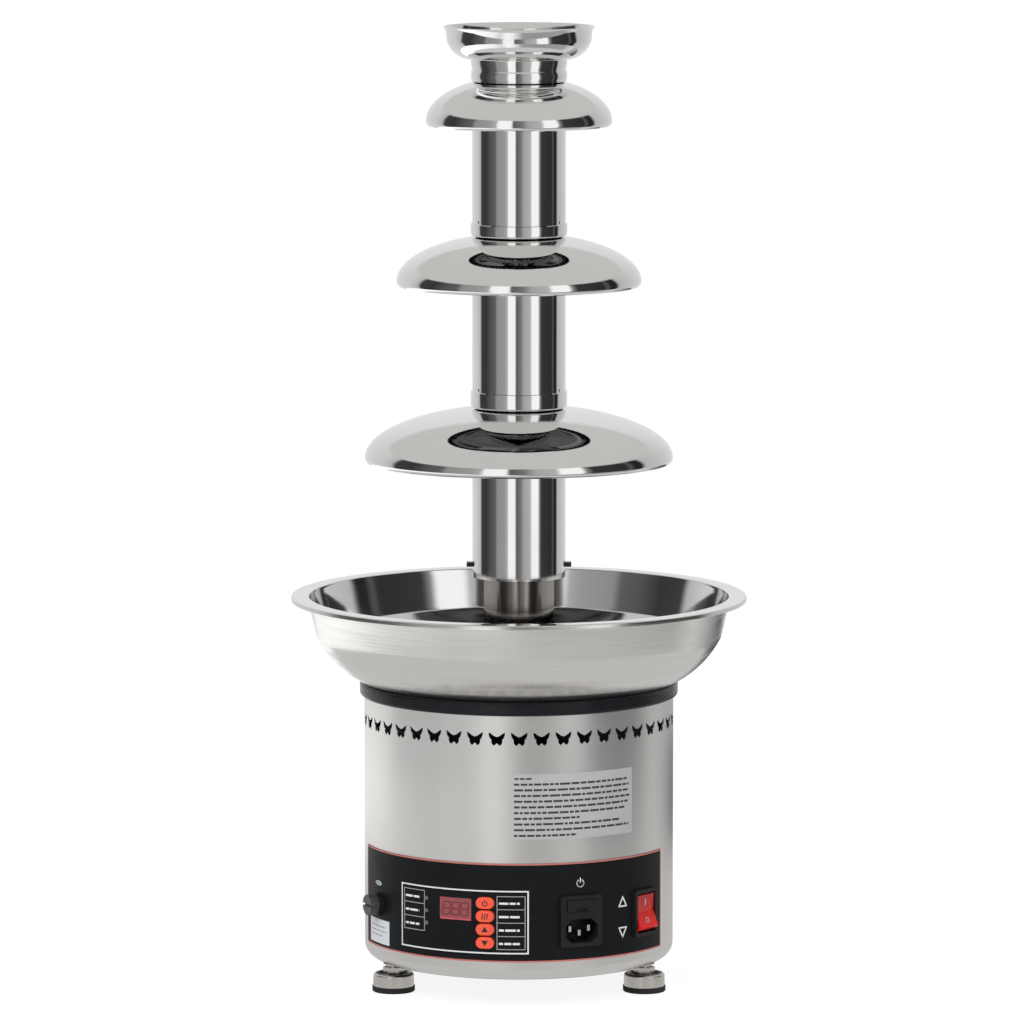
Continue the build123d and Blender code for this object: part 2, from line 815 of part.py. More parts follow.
# Mains inlet with its fuse drawer above the socket
inlet_plane = on_drum(inlet_angle, inlet_level, panel_radius)
socket_front = inlet_plane.offset(inlet_proud)
with BuildPart() as inlet_body:
    with BuildSketch(inlet_plane.offset(-2)):
        RectangleRounded(*inlet_bezel, 2.0)
    extrude(amount=2 + inlet_proud)
    Cylinder(panel_radius, 4 * drum_height, mode=Mode.SUBTRACT)
    with BuildSketch(socket_front):
        RectangleRounded(inlet_body_size[0] - 0.2, inlet_body_size[1] - 0.2, 1.0)
    extrude(amount=-inlet_depth - inlet_proud)
    with BuildSketch(socket_front):
        with Locations((0, -socket_drop)):
            Rectangle(*socket_size)
        chamfer(vertices().group_by(Axis.Z)[0], socket_chamfer)
    extrude(amount=-socket_depth, mode=Mode.SUBTRACT)
    with BuildSketch(socket_front):
        with Locations((0, drawer_rise)):
            Rectangle(drawer_size[0] + 2 * seat_gap, drawer_size[1] + 2 * seat_gap)
    extrude(amount=-drawer_depth - seat_gap, mode=Mode.SUBTRACT)
save(inlet_body, "inlet_body")

with BuildPart() as inlet_pins:
    with BuildSketch(socket_front.offset(-socket_depth)):
        with Locations((0, -socket_drop - pin_size[0] / 2)):
            Rectangle(pin_size[1], pin_size[0])
        with Locations((-pin_spread, -socket_drop + 1), (pin_spread, -socket_drop + 1)):
            Rectangle(pin_size[1], pin_size[0])
    extrude(amount=pin_length)
save(inlet_pins, "inlet_pins")

with BuildPart() as fuse_drawer:
    with BuildSketch(socket_front.offset(-drawer_depth)):
        with Locations((0, drawer_rise)):
            Rectangle(drawer_size[0] - 2, drawer_size[1] - 1)
    extrude(amount=drawer_depth - 2)
    with BuildSketch(socket_front.offset(-2)):
        with Locations((0, drawer_rise)):
            Rectangle(*drawer_size)
    extrude(amount=2 + drawer_proud)
    with BuildSketch(socket_front.offset(drawer_proud)):
        with Locations((0, drawer_rise - drawer_size[1] / 2 + 1.2)):
            Rectangle(8.0, 1.6)
    extrude(amount=-1.2, mode=Mode.SUBTRACT)
save(fuse_drawer, "fuse_drawer")

# Rocker switch: its top end is pressed in at rest
switch_plane = on_drum(switch_angle, switch_level, panel_radius)
with BuildPart() as switch_body:
    with BuildSketch(switch_plane.offset(-2)):
        RectangleRounded(*switch_bezel, 1.5)
    extrude(amount=2 + switch_proud)
    Cylinder(panel_radius, 4 * drum_height, mode=Mode.SUBTRACT)
    with BuildSketch(switch_plane.offset(switch_proud)):
        RectangleRounded(switch_body_size[0] - 0.2, switch_body_size[1] - 0.2, 1.0)
    extrude(amount=-switch_depth - switch_proud)
    with BuildSketch(switch_plane.offset(switch_proud)):
        Rectangle(*switch_window)
    extrude(amount=-switch_depth - switch_proud + 4, mode=Mode.SUBTRACT)
save(switch_body, "switch_body")

rocker_pivot = switch_plane.offset(-rocker_pivot_depth)
rocker_out = rocker_pivot.z_dir * cos(radians(rocker_tilt)) + Vector(0, 0, sin(radians(rocker_tilt)))
rocker_plane = Plane(origin=rocker_pivot.origin, x_dir=rocker_out, z_dir=-rocker_pivot.x_dir)
rocker_front = rocker_pivot_depth + rocker_rise
rocker_corner = sqrt(rocker_reach**2 - rocker_front**2)
with BuildPart() as switch_rocker:
    with BuildSketch(rocker_plane):
        with BuildLine():
            turn = pi / 4 + acos(rocker_front / rocker_reach) / 2
            side = (rocker_reach * cos(turn), rocker_reach * sin(turn))
            ThreePointArc((0, rocker_reach), side, (rocker_front, rocker_corner))
            Line((rocker_front, rocker_corner), (rocker_pivot_depth + rocker_dip, 0))
            Line((rocker_pivot_depth + rocker_dip, 0), (rocker_front, -rocker_corner))
            ThreePointArc((rocker_front, -rocker_corner), (side[0], -side[1]), (0, -rocker_reach))
            Polyline((0, -rocker_reach), (-3, -rocker_reach / 2), (-3, rocker_reach / 2), (0, rocker_reach))
        make_face()
    extrude(amount=switch_window[0] / 2 - seat_gap, both=True)
save(switch_rocker, "switch_rocker")

# Fuse holder with a fluted, slotted cap
fuse_plane = on_drum(fuse_angle, fuse_level, panel_radius)
with BuildPart() as fuse_holder:
    with BuildSketch(fuse_plane.offset(-2)):
        Circle(fuse_flange_radius)
    extrude(amount=2 + fuse_flange_height)
    Cylinder(panel_radius, 4 * drum_height, mode=Mode.SUBTRACT)
    with BuildSketch(fuse_plane.offset(fuse_flange_height)):
        Circle(fuse_body_radius - 0.1)
    extrude(amount=-fuse_body_depth - fuse_flange_height)
    with BuildSketch(fuse_plane.offset(fuse_flange_height)):
        Circle(fuse_plug_radius + running_gap)
    extrude(amount=-fuse_plug_length - 1, mode=Mode.SUBTRACT)
save(fuse_holder, "fuse_holder")

cap_plane = fuse_plane.offset(fuse_flange_height + seat_gap)
with BuildPart() as fuse_cap:
    with BuildSketch(cap_plane):
        Circle(fuse_cap_radius)
        with PolarLocations(fuse_cap_radius + 0.4, 16):
            Circle(0.8, mode=Mode.SUBTRACT)
    extrude(amount=fuse_cap_height)
    with BuildSketch(cap_plane):
        Circle(fuse_plug_radius)
    extrude(amount=-fuse_plug_length)
    with BuildSketch(cap_plane.offset(fuse_cap_height)):
        Rectangle(2 * fuse_cap_radius + 2, 1.8)
    extrude(amount=-1.8, mode=Mode.SUBTRACT)
save(fuse_cap, "fuse_cap")


# Wiring inside the base: each lead runs in straight stretches joined by arcs
def lead(points):
    """A round lead along its points; returns its solid."""
    with BuildLine() as route:
        FilletPolyline(*points, radius=lead_bend)
    with BuildSketch(Plane(origin=route.line @ 0, z_dir=route.line % 0)) as section:
        Circle(lead_radius)
    return sweep(section.sketch, path=route.line)


board_lead = board_plane.from_local_coords((*lead_local, 0))
inlet_rear = inlet_plane.offset(-inlet_depth)
switch_rear = switch_plane.offset(-switch_depth)
lead_top = clamp_top - clamp_sheet
can_side = (motor_place[0], motor_place[1] - can_radius)
lead_routes = (
    (
        inlet_rear.from_local_coords((6, 2, 0)),
        inlet_rear.from_local_coords((6, 2, -12)),
        switch_rear.from_local_coords((-4, 0, -13)),
        switch_rear.from_local_coords((-4, 0, 0)),
    ),
    (
        inlet_rear.from_local_coords((-6, -6, 0)),
        inlet_rear.from_local_coords((-6, -6, -14)),
        board_plane.from_local_coords((20, -17, -16)),
        board_plane.from_local_coords((20, -17, 0)),
    ),
    (board_lead, lead_rise, Vector(*lead_hole, lead_top)),
    (
        board_plane.from_local_coords((-4, -20, 0)),
        board_plane.from_local_coords((-4, -20, -16)),
        Vector(can_side[0], can_side[1] - 18, can_base + 16),
        Vector(can_side[0], can_side[1], can_base + 16),
    ),
)
leads = [lead(route) for route in lead_routes]
with BuildPart() as wiring:
    add(leads)
save(wiring, "wiring")

# Feet: riveted inserts in the drum's floor, threaded studs with a hex, steel caps and rubber pads
with BuildPart() as foot_inserts:
    with BuildSketch(Plane.XY.offset(foot_height)):
        for angle in foot_angles:
            with Locations(around(foot_circle, angle)):
                Circle(insert_radius)
                Circle(insert_bore, mode=Mode.SUBTRACT)
    extrude(amount=insert_height)
    with BuildSketch(Plane.XY.offset(foot_height)):
        for angle in foot_angles:
            with Locations(around(foot_circle, angle)):
                Circle(insert_radius + 1.6)
                Circle(insert_bore, mode=Mode.SUBTRACT)
    extrude(amount=-0.8)
save(foot_inserts, "foot_inserts")

cap_top = pad_height + cap_height
cap_plate = cap_top - cap_dish
head_top = cap_plate - cap_wall - seat_gap
for number, angle in enumerate(foot_angles, start=1):
    place = around(foot_circle, angle)
    with BuildPart() as foot_pad:
        with BuildSketch():
            with Locations(place):
                Circle(pad_radius)
        extrude(amount=pad_height)
        chamfer(foot_pad.faces().sort_by(Axis.Z)[0].edges(), 0.6)
        with BuildSketch(Plane.XY.offset(pad_height)):
            with Locations(place):
                Circle(cap_radius - cap_wall - 2 * seat_gap)
        extrude(amount=cap_plate - cap_wall - pad_height)
        with BuildSketch(Plane.XY.offset(head_top - stud_head_height - seat_gap)):
            with Locations(place):
                Circle(stud_head_radius + seat_gap)
        extrude(amount=cap_height, mode=Mode.SUBTRACT)
    save(foot_pad, f"foot_pad_{number}")

    with BuildPart() as foot_cap:
        with BuildSketch(Plane.XY.offset(pad_height)):
            with Locations(place):
                Circle(cap_radius)
        extrude(amount=cap_height, taper=2)
        fillet(foot_cap.faces().sort_by(Axis.Z)[-1].edges(), 1.6)
        with BuildSketch(Plane.XY.offset(cap_plate)):
            with Locations(place):
                Circle(cap_radius - 3.4)
        extrude(amount=cap_dish, taper=-30, mode=Mode.SUBTRACT)
        with BuildSketch(Plane.XY.offset(pad_height)):
            with Locations(place):
                Circle(cap_radius - cap_wall)
        extrude(amount=cap_plate - cap_wall - pad_height, taper=2, mode=Mode.SUBTRACT)
        with BuildSketch(Plane.XY.offset(pad_height)):
            with Locations(place):
                Circle(stud_radius + running_gap)
        extrude(amount=cap_height, mode=Mode.SUBTRACT)
    save(foot_cap, f"foot_cap_{number}")

    with BuildPart() as foot_stud:
        with BuildSketch(Plane.XY.offset(head_top - stud_head_height)):
            with Locations(place):
                Circle(stud_head_radius)
        extrude(amount=stud_head_height)
        with BuildSketch(Plane.XY.offset(head_top)):
            with Locations(place):
                Circle(stud_radius)
        extrude(amount=stud_length)
        with BuildSketch(Plane.XY.offset(cap_plate + seat_gap)):
            with Locations(place):
                RegularPolygon(stud_hex_across / 2, 6, major_radius=False)
        extrude(amount=stud_hex_height)
        chamfer(foot_stud.faces().sort_by(Axis.Z)[-1].edges(), 0.6)
    save(foot_stud, f"foot_stud_{number}")

# Auger: a helical flight on a core, with a hexagonal socket in its hub that drops on the shaft
flight_root = auger_core_radius - 0.5
flight_middle = (auger_flight_radius + flight_root) / 2
flight_start = auger_base + 6
with BuildPart() as auger:
    with BuildLine(Plane.XY.offset(flight_start)) as spiral:
        Helix(pitch=auger_pitch, height=auger_top_level - 6 - flight_start, radius=flight_middle)
    with BuildSketch(Plane(origin=spiral.line @ 0, z_dir=spiral.line % 0, x_dir=(1, 0, 0))):
        Rectangle(auger_flight_radius - flight_root, auger_flight_sheet)
    sweep(is_frenet=True)
    with BuildSketch(Plane.XY.offset(auger_base)):
        Circle(auger_core_radius)
    extrude(amount=auger_top_level - auger_base)
    with BuildSketch(Plane.XY.offset(auger_base)):
        Circle(auger_hub_radius)
    extrude(amount=auger_hub_height)
    with BuildSketch(Plane.XY.offset(auger_base)):
        RegularPolygon(hex_across / 2 + running_gap, 6, major_radius=False)
    extrude(amount=hex_length, mode=Mode.SUBTRACT)
save(auger, "auger")

# Auger tube: it drops over the pegs, lets chocolate in at its foot and carries the tower's pins
with BuildPart() as auger_tube:
    with BuildSketch(Plane.XY.offset(tube_end)):
        Circle(tube_radius)
        Circle(tube_inner, mode=Mode.SUBTRACT)
    extrude(amount=tube_top_level - tube_end)
    with BuildSketch(Plane.XY.offset(tube_end + tube_flange_sheet)):
        for turn in (60, 180, 300):
            with Locations(Rotation(0, 0, turn)):
                Rectangle(tube_radius + 2, inflow_width, align=(Align.MIN, Align.CENTER))
    extrude(amount=inflow_height, mode=Mode.SUBTRACT)
    with BuildSketch(Plane.XY.offset(tube_end)):
        Circle(tube_flange_radius)
        Circle(tube_inner, mode=Mode.SUBTRACT)
        with PolarLocations(peg_circle, 3):
            Circle(peg_radius + drop_gap, mode=Mode.SUBTRACT)
    extrude(amount=tube_flange_sheet)
    for side in (-1, 1):
        with BuildSketch(Plane.YZ.offset(side * (tube_inner + 0.2))):
            with Locations((0, tower_pin_level)):
                Circle(tower_pin_radius)
        extrude(amount=side * (tower_pin_reach - tube_inner - 0.2))
save(auger_tube, "auger_tube")


def dome_level(tier, radius, inset):
    """The level of a dome's surface at a radius; the inset is its sheet for the inner surface."""
    reach = tier_radii[tier] - inset
    return tier_levels[tier] + (tier_heights[tier] - inset) * sqrt(1 - (radius / reach) ** 2)


def dome_section(tier, inset):
    """Half of a dome's filled section: a quarter ellipse over a short skirt that curls in."""
    reach = tier_radii[tier] - inset
    level = tier_levels[tier]
    rise = tier_heights[tier] - inset
    skirt_end = level - tier_skirt
    EllipticalCenterArc((0, level), reach, rise, start_angle=0, arc_size=90)
    ThreePointArc(
        (reach, level),
        (reach - 0.3 * skirt_curl, level - tier_skirt / 2),
        (reach - skirt_curl, skirt_end),
    )
    Polyline((reach - skirt_curl, skirt_end), (0, skirt_end), (0, level + rise))


# Tiers: each is a domed sheet welded on a sleeve; the two upper sleeves end in a ring
ring_bore = ring_radius - ring_width
ring_ends = {tier: dome_level(tier + 1, ring_bore, 0) + seat_gap for tier in (2, 1)}
for tier in (3, 2, 1):
    with BuildPart() as dome:
        with BuildSketch(Plane.XZ):
            with BuildLine():
                dome_section(tier, 0)
            make_face()
        revolve(axis=Axis.Z)
        with BuildSketch(Plane.XZ):
            with BuildLine():
                dome_section(tier, tier_sheet)
            make_face()
        revolve(axis=Axis.Z, mode=Mode.SUBTRACT)
        Cylinder(tier_bore, 4 * tier_levels[tier], mode=Mode.SUBTRACT)
    save(dome, f"dome_{tier}")

    sleeve_end = sleeve_end_level if tier == 3 else ring_ends[tier] + ring_heights[tier]
    with BuildPart() as sleeve:
        with BuildSketch(Plane.XY.offset(sleeve_end)):
            Circle(sleeve_radius)
            Circle(sleeve_inner, mode=Mode.SUBTRACT)
        extrude(amount=dome_level(tier, sleeve_radius, tier_sheet) - sleeve_end)
        if tier == 3:
            notch_top = tower_pin_level + tower_pin_radius + seat_gap
            with BuildSketch(Plane.YZ):
                with Locations((0, sleeve_end)):
                    Rectangle(
                        2 * (tower_pin_radius + seat_gap),
                        notch_top - sleeve_end,
                        align=(Align.CENTER, Align.MIN),
                    )
            extrude(amount=2 * sleeve_radius, both=True, mode=Mode.SUBTRACT)
        else:
            for turn in (-spot_angle, spot_angle, 180):
                with BuildSketch(on_drum(turn, sleeve_end + 1.5 * spot_radius, sleeve_radius + 1)):
                    Circle(spot_radius)
                extrude(amount=-1 - sleeve_sheet, mode=Mode.SUBTRACT)
    save(sleeve, f"sleeve_{tier}")

    if tier < 3:
        with BuildPart() as ring:
            with BuildSketch(Plane.XY.offset(ring_ends[tier])):
                Circle(ring_radius)
            extrude(amount=ring_heights[tier])
            fillet(ring.faces().sort_by(Axis.Z)[0].edges(), ring_round)
            with BuildSketch(Plane.XY.offset(sleeve_end)):
                Circle(sleeve_inner)
            extrude(amount=ring_spigot)
            with BuildSketch(Plane.XY.offset(ring_ends[tier])):
                Circle(ring_bore)
            extrude(amount=ring_heights[tier] + ring_spigot, mode=Mode.SUBTRACT)
        save(ring, f"ring_{tier}")

# Crown: a cup over a grooved neck that stands on the top dome
neck_base = dome_level(1, neck_radius - neck_wall, 0) + seat_gap
cup_base = cup_lip_level - cup_floor_depth
with BuildPart() as crown_neck:
    with BuildSketch(Plane.XY.offset(neck_base)):
        Circle(neck_radius)
        Circle(neck_radius - neck_wall, mode=Mode.SUBTRACT)
    extrude(amount=cup_base - neck_base)
    with BuildSketch(Plane.XY.offset(neck_groove_level - neck_groove_width / 2)):
        Circle(neck_radius)
        Circle(neck_radius - neck_groove_depth, mode=Mode.SUBTRACT)
    extrude(amount=neck_groove_width, mode=Mode.SUBTRACT)
save(crown_neck, "crown_neck")

with BuildPart() as crown_cup:
    with BuildSketch(Plane.XZ):
        with BuildLine():
            wall_top = (cup_wall_radius, cup_lip_level - cup_lip_depth)
            shoulder = (cup_wall_radius - 0.7, cup_lip_level - cup_shoulder_depth)
            turn = (cup_turn[0], cup_lip_level - cup_turn[1])
            Polyline((0, cup_base), (0, cup_lip_level), (cup_lip_radius, cup_lip_level), wall_top, shoulder)
            ThreePointArc(shoulder, turn, (cup_floor_radius, cup_base))
            Line((cup_floor_radius, cup_base), (0, cup_base))
        make_face()
    revolve(axis=Axis.Z)
    offset(amount=-tier_sheet, openings=crown_cup.faces().sort_by(Axis.Z)[-1])
    Cylinder(tier_bore, 4 * cup_lip_level, mode=Mode.SUBTRACT)
save(crown_cup, "crown_cup")
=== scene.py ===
"""Looks for the chocolate fountain: finishes, printed panel, labels, studio and camera."""

import json
from math import cos, pi, radians, sin, sqrt

import bmesh
import bpy
import numpy as np
from bpy.props import FloatProperty, FloatVectorProperty, IntProperty, PointerProperty
from bpy.types import Operator, Panel, PropertyGroup
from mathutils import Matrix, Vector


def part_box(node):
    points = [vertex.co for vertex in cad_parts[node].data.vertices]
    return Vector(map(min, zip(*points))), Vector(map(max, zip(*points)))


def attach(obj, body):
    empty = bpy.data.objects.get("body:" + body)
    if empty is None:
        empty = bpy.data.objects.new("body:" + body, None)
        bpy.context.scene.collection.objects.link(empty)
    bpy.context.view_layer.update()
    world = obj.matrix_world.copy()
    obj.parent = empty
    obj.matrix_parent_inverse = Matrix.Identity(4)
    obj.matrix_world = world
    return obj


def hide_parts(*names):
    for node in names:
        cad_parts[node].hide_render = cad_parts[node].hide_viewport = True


bl_info = {
    "name": "Chocolate fountain looks",
    "version": (1, 0, 0),
    "blender": (4, 5, 0),
    "location": "View3D > Sidebar > Fountain",
    "description": "Finishes, printed panel, labels and studio for a table-top chocolate fountain",
    "category": "Object",
}

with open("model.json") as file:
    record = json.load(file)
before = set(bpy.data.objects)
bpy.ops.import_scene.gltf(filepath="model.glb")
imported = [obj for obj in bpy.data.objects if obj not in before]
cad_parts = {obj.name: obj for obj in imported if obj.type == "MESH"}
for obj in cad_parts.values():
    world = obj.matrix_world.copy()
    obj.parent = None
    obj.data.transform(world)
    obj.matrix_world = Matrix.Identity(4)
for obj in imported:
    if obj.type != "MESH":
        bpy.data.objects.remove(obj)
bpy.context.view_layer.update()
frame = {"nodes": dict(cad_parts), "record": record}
nodes = frame["nodes"]

MM = 0.001


def tint(label, text, value):
    """A colour property with its name, description and default."""
    return FloatVectorProperty(
        name=label, description=text, default=value, subtype="COLOR", size=3, min=0.0, max=1.0
    )


def length(label, text, millimetres):
    """A length property in metres, its default given in millimetres."""
    return FloatProperty(name=label, description=text, default=millimetres * MM, unit="LENGTH")


def share(label, text, value):
    """A plain factor between 0 and 1."""
    return FloatProperty(name=label, description=text, default=value, subtype="FACTOR", min=0, max=1)


def angle_of(label, text, degrees_value):
    """An angle property, its default given in degrees."""
    return FloatProperty(
        name=label, description=text, default=radians(degrees_value), subtype="ANGLE", unit="ROTATION"
    )


class FountainFinishes(PropertyGroup):
    """Colours and gloss of the fountain's own materials."""

    mirror_tint: tint("Mirror steel", "Colour of the polished tower", (0.86, 0.855, 0.85))
    mirror_gloss: share("Mirror roughness", "Roughness of the polished tower", 0.035)
    satin_tint: tint("Satin steel", "Colour of the drum and the bowl's outside", (0.80, 0.79, 0.775))
    satin_gloss: share("Satin roughness", "Roughness of the satin steel", 0.30)
    collar_tint: tint("Collar", "Colour of the glossy collar", (0.010, 0.011, 0.013))
    overlay_tint: tint("Panel", "Colour of the control panel", (0.0065, 0.0075, 0.0085))
    border_tint: tint("Panel border", "Colour of the line round the panel", (0.50, 0.155, 0.135))
    print_tint: tint("Print", "Colour of the panel's white print", (0.72, 0.73, 0.74))
    button_tint: tint("Buttons", "Colour of the oval buttons", (0.86, 0.085, 0.035))
    rocker_tint: tint("Rocker", "Colour of the rocker", (0.55, 0.012, 0.010))
    display_tint: tint("Display", "Colour of the display's window", (0.27, 0.045, 0.052))
    digit_tint: tint("Digits", "Colour of the display's unlit digits", (0.12, 0.018, 0.022))
    light_tint: tint("Status lights", "Colour of the unlit status lights", (0.10, 0.11, 0.10))
    plastic_tint: tint("Black plastic", "Colour of inlet, switch body and fuse holder", (0.012, 0.012, 0.013))
    cap_tint: tint("Fuse cap", "Colour of the fuse cap", (0.045, 0.047, 0.050))
    label_tint: tint("Silver label", "Colour of the silver label", (0.50, 0.51, 0.51))
    sticker_tint: tint("White sticker", "Colour of the white sticker", (0.66, 0.68, 0.70))
    ink_tint: tint("Ink", "Colour of the ruled lines on the labels", (0.035, 0.036, 0.040))
    rubber_tint: tint("Rubber", "Colour of the feet's pads", (0.012, 0.012, 0.012))


class FountainSizes(PropertyGroup):
    """Sizes of the printed panel, of the labels and of the worked surfaces."""

    segments: IntProperty(name="Segments", description="Steps round a turned surface", default=256, min=48)
    print_lift: length("Print lift", "Height of the print over the panel", 0.08)
    border_width: length("Border", "Width of the line round the panel", 1.1)
    frame_line: length("Frame line", "Width of the controller frame's line", 1.0)
    box_line: length("Box line", "Width of the caption boxes' lines", 0.55)
    frame_start: angle_of("Frame start", "Left end of the controller frame", -48.3)
    frame_end: angle_of("Frame end", "Right end of the controller frame", 3.5)
    frame_low: length("Frame foot", "Lowest line of the controller frame", 39.5)
    frame_high: length("Frame top", "Highest line of the controller frame", 84.0)
    label_start: angle_of("Label start", "Left end of the silver label", -2.7)
    label_end: angle_of("Label end", "Right end of the silver label", 46.0)
    label_low: length("Label foot", "Lowest edge of the silver label", 119.7)
    label_high: length("Label top", "Highest edge of the silver label", 165.5)
    sticker_start: angle_of("Sticker start", "Left end of the white sticker", -71.6)
    sticker_end: angle_of("Sticker end", "Right end of the white sticker", -55.9)
    sticker_low: length("Sticker foot", "Lowest edge of the white sticker", 36.5)
    sticker_high: length("Sticker top", "Highest edge of the white sticker", 53.5)


class FountainStudio(PropertyGroup):
    """The room round the fountain: what the steel mirrors, the lamps and the camera."""

    ceiling: share("Ceiling", "Brightness of the room above the windows in the steel", 0.60)
    near_floor: share("Near floor", "Brightness of the floor close to the fountain in the steel", 0.62)
    floor_tone: share("Floor tone", "Brightness of the room below the windows in the steel", 0.50)
    daylight: FloatProperty(name="Daylight", description="Strength of the soft light", default=0.55)
    key_power: FloatProperty(name="Key lamp", description="Power of the key lamp in watts", default=42.0)
    fill_power: FloatProperty(name="Fill lamp", description="Power of the fill lamp in watts", default=18.0)
    lens: FloatProperty(name="Lens", description="Focal length in millimetres", default=252.5)
    eye_distance: length("Camera distance", "Distance of the camera in front of the axis", 4940.0)
    eye_height: length("Camera height", "Height of the camera over the floor", 939.0)
    eye_offset: length("Camera offset", "Distance of the camera to the left of the axis", 9.8)
    aim_height: length("Aim height", "Height on the axis that the camera looks at", 339.6)


def finishes():
    return bpy.context.scene.fountain_finishes


def sizes():
    return bpy.context.scene.fountain_sizes


def studio():
    return bpy.context.scene.fountain_studio


# Materials


class Recipe:
    """Short hand for building one node tree: each method adds a node and returns its output."""

    def __init__(self, tree):
        self.tree = tree

    def add(self, kind, **settings):
        node = self.tree.nodes.new(kind)
        for key, value in settings.items():
            setattr(node, key, value)
        return node

    def put(self, value, socket):
        """Link a socket or set a plain value."""
        if isinstance(value, bpy.types.NodeSocket):
            self.tree.links.new(value, socket)
        else:
            socket.default_value = value

    def math(self, operation, *values):
        node = self.add("ShaderNodeMath", operation=operation)
        for value, socket in zip(values, node.inputs):
            self.put(value, socket)
        return node.outputs[0]

    def vector(self, operation, *values):
        node = self.add("ShaderNodeVectorMath", operation=operation)
        for value, socket in zip(values, node.inputs):
            self.put(value, socket)
        return node.outputs["Value" if operation in ("LENGTH", "DOT_PRODUCT") else "Vector"]

    def split(self, vector):
        node = self.add("ShaderNodeSeparateXYZ")
        self.put(vector, node.inputs[0])
        return node.outputs

    def join(self, x, y, z):
        node = self.add("ShaderNodeCombineXYZ")
        for value, socket in zip((x, y, z), node.inputs):
            self.put(value, socket)
        return node.outputs[0]

    def noise(self, vector, scale, detail=2.0, roughness=0.5):
        node = self.add("ShaderNodeTexNoise")
        self.put(vector, node.inputs["Vector"])
        self.put(scale, node.inputs["Scale"])
        node.inputs["Detail"].default_value = detail
        node.inputs["Roughness"].default_value = roughness
        return node.outputs["Fac"]

    def spread(self, value, low, high, to_low, to_high, smooth=False):
        """Map a range of values onto another."""
        node = self.add("ShaderNodeMapRange")
        node.interpolation_type = "SMOOTHSTEP" if smooth else "LINEAR"
        for number, socket in zip((value, low, high, to_low, to_high), node.inputs):
            self.put(number, socket)
        return node.outputs[0]

    def mix(self, factor, first, second):
        node = self.add("ShaderNodeMix", data_type="RGBA")
        self.put(factor, node.inputs[0])
        self.put(first, node.inputs[6])
        self.put(second, node.inputs[7])
        return node.outputs[2]

    def bump(self, height, strength, distance):
        node = self.add("ShaderNodeBump")
        node.inputs["Strength"].default_value = strength
        node.inputs["Distance"].default_value = distance
        self.put(height, node.inputs["Height"])
        return node.outputs["Normal"]


def group_of(name, inputs, outputs, build):
    """A shader node group with named sockets, built once and shared by the materials."""
    known = bpy.data.node_groups.get(name)
    if known:
        return known
    tree = bpy.data.node_groups.new(name, "ShaderNodeTree")
    for label, kind, value in inputs:
        socket = tree.interface.new_socket(label, in_out="INPUT", socket_type=kind)
        if value is not None:
            socket.default_value = value
    for label, kind in outputs:
        tree.interface.new_socket(label, in_out="OUTPUT", socket_type=kind)
    recipe = Recipe(tree)
    start = recipe.add("NodeGroupInput")
    end = recipe.add("NodeGroupOutput")
    build(recipe, start.outputs, end.inputs)
    return tree


def turned_lines():
    """Fine rings round the Z axis, as a spinning lathe leaves them: noise that changes quickly with
    height and radius and hardly along the turn."""

    def build(recipe, start, end):
        x, y, z = recipe.split(start["Position"])
        radius = recipe.math("SQRT", recipe.math("ADD", recipe.math("MULTIPLY", x, x), recipe.math("MULTIPLY", y, y)))
        safe = recipe.math("MAXIMUM", radius, 0.0005)
        along = start["Length"]
        east = recipe.math("MULTIPLY", recipe.math("DIVIDE", x, safe), along)
        north = recipe.math("MULTIPLY", recipe.math("DIVIDE", y, safe), along)
        run = recipe.math("ADD", recipe.math("MULTIPLY", z, start["Lines"]), recipe.math("MULTIPLY", radius, start["Lines"]))
        place = recipe.join(east, north, run)
        recipe.put(recipe.noise(place, 1.0, 3.0, 0.6), end["Lines"])
        slow = recipe.join(east, north, recipe.math("MULTIPLY", run, 0.12))
        recipe.put(recipe.noise(slow, 1.0, 2.0, 0.5), end["Bands"])

    return group_of(
        "turned lines",
        [("Position", "NodeSocketVector", None), ("Lines", "NodeSocketFloat", 900.0), ("Length", "NodeSocketFloat", 1.6)],
        [("Lines", "NodeSocketFloat"), ("Bands", "NodeSocketFloat")],
        build,
    )


def handling_marks():
    """Smudges and small scratches left by hands and cloths: soft patches plus thin crossed lines."""

    def build(recipe, start, end):
        patches = recipe.noise(start["Position"], start["Scale"], 4.0, 0.6)
        smudge = recipe.spread(patches, 0.46, 0.72, 0.0, 1.0, True)
        x, y, z = recipe.split(start["Position"])
        first = recipe.join(recipe.math("MULTIPLY", x, 34.0), recipe.math("MULTIPLY", y, 260.0), recipe.math("MULTIPLY", z, 900.0))
        second = recipe.join(recipe.math("MULTIPLY", x, 300.0), recipe.math("MULTIPLY", y, 900.0), recipe.math("MULTIPLY", z, 60.0))
        fine = recipe.math("MAXIMUM", recipe.noise(first, 1.0, 2.0), recipe.noise(second, 1.0, 2.0))
        scratch = recipe.spread(fine, 0.66, 0.74, 0.0, 1.0)
        recipe.put(smudge, end["Smudge"])
        recipe.put(scratch, end["Scratch"])

    return group_of(
        "handling marks",
        [("Position", "NodeSocketVector", None), ("Scale", "NodeSocketFloat", 14.0)],
        [("Smudge", "NodeSocketFloat"), ("Scratch", "NodeSocketFloat")],
        build,
    )


def material(name):
    """A new material with its recipe and its Principled shader."""
    made = bpy.data.materials.new(name)
    made.use_nodes = True
    recipe = Recipe(made.node_tree)
    shader = made.node_tree.nodes["Principled BSDF"]
    place = recipe.add("ShaderNodeTexCoord").outputs["Object"]
    return made, recipe, shader, place


def use(recipe, tree, **inputs):
    """Place a node group with its own values and return its outputs."""
    node = recipe.add("ShaderNodeGroup", node_tree=tree)
    for label, value in inputs.items():
        recipe.put(value, node.inputs[label])
    return node.outputs


def shade(colour, factor):
    """A colour made darker or lighter, with its alpha."""
    return tuple(min(1.0, part * factor) for part in colour[:3]) + (1.0,)


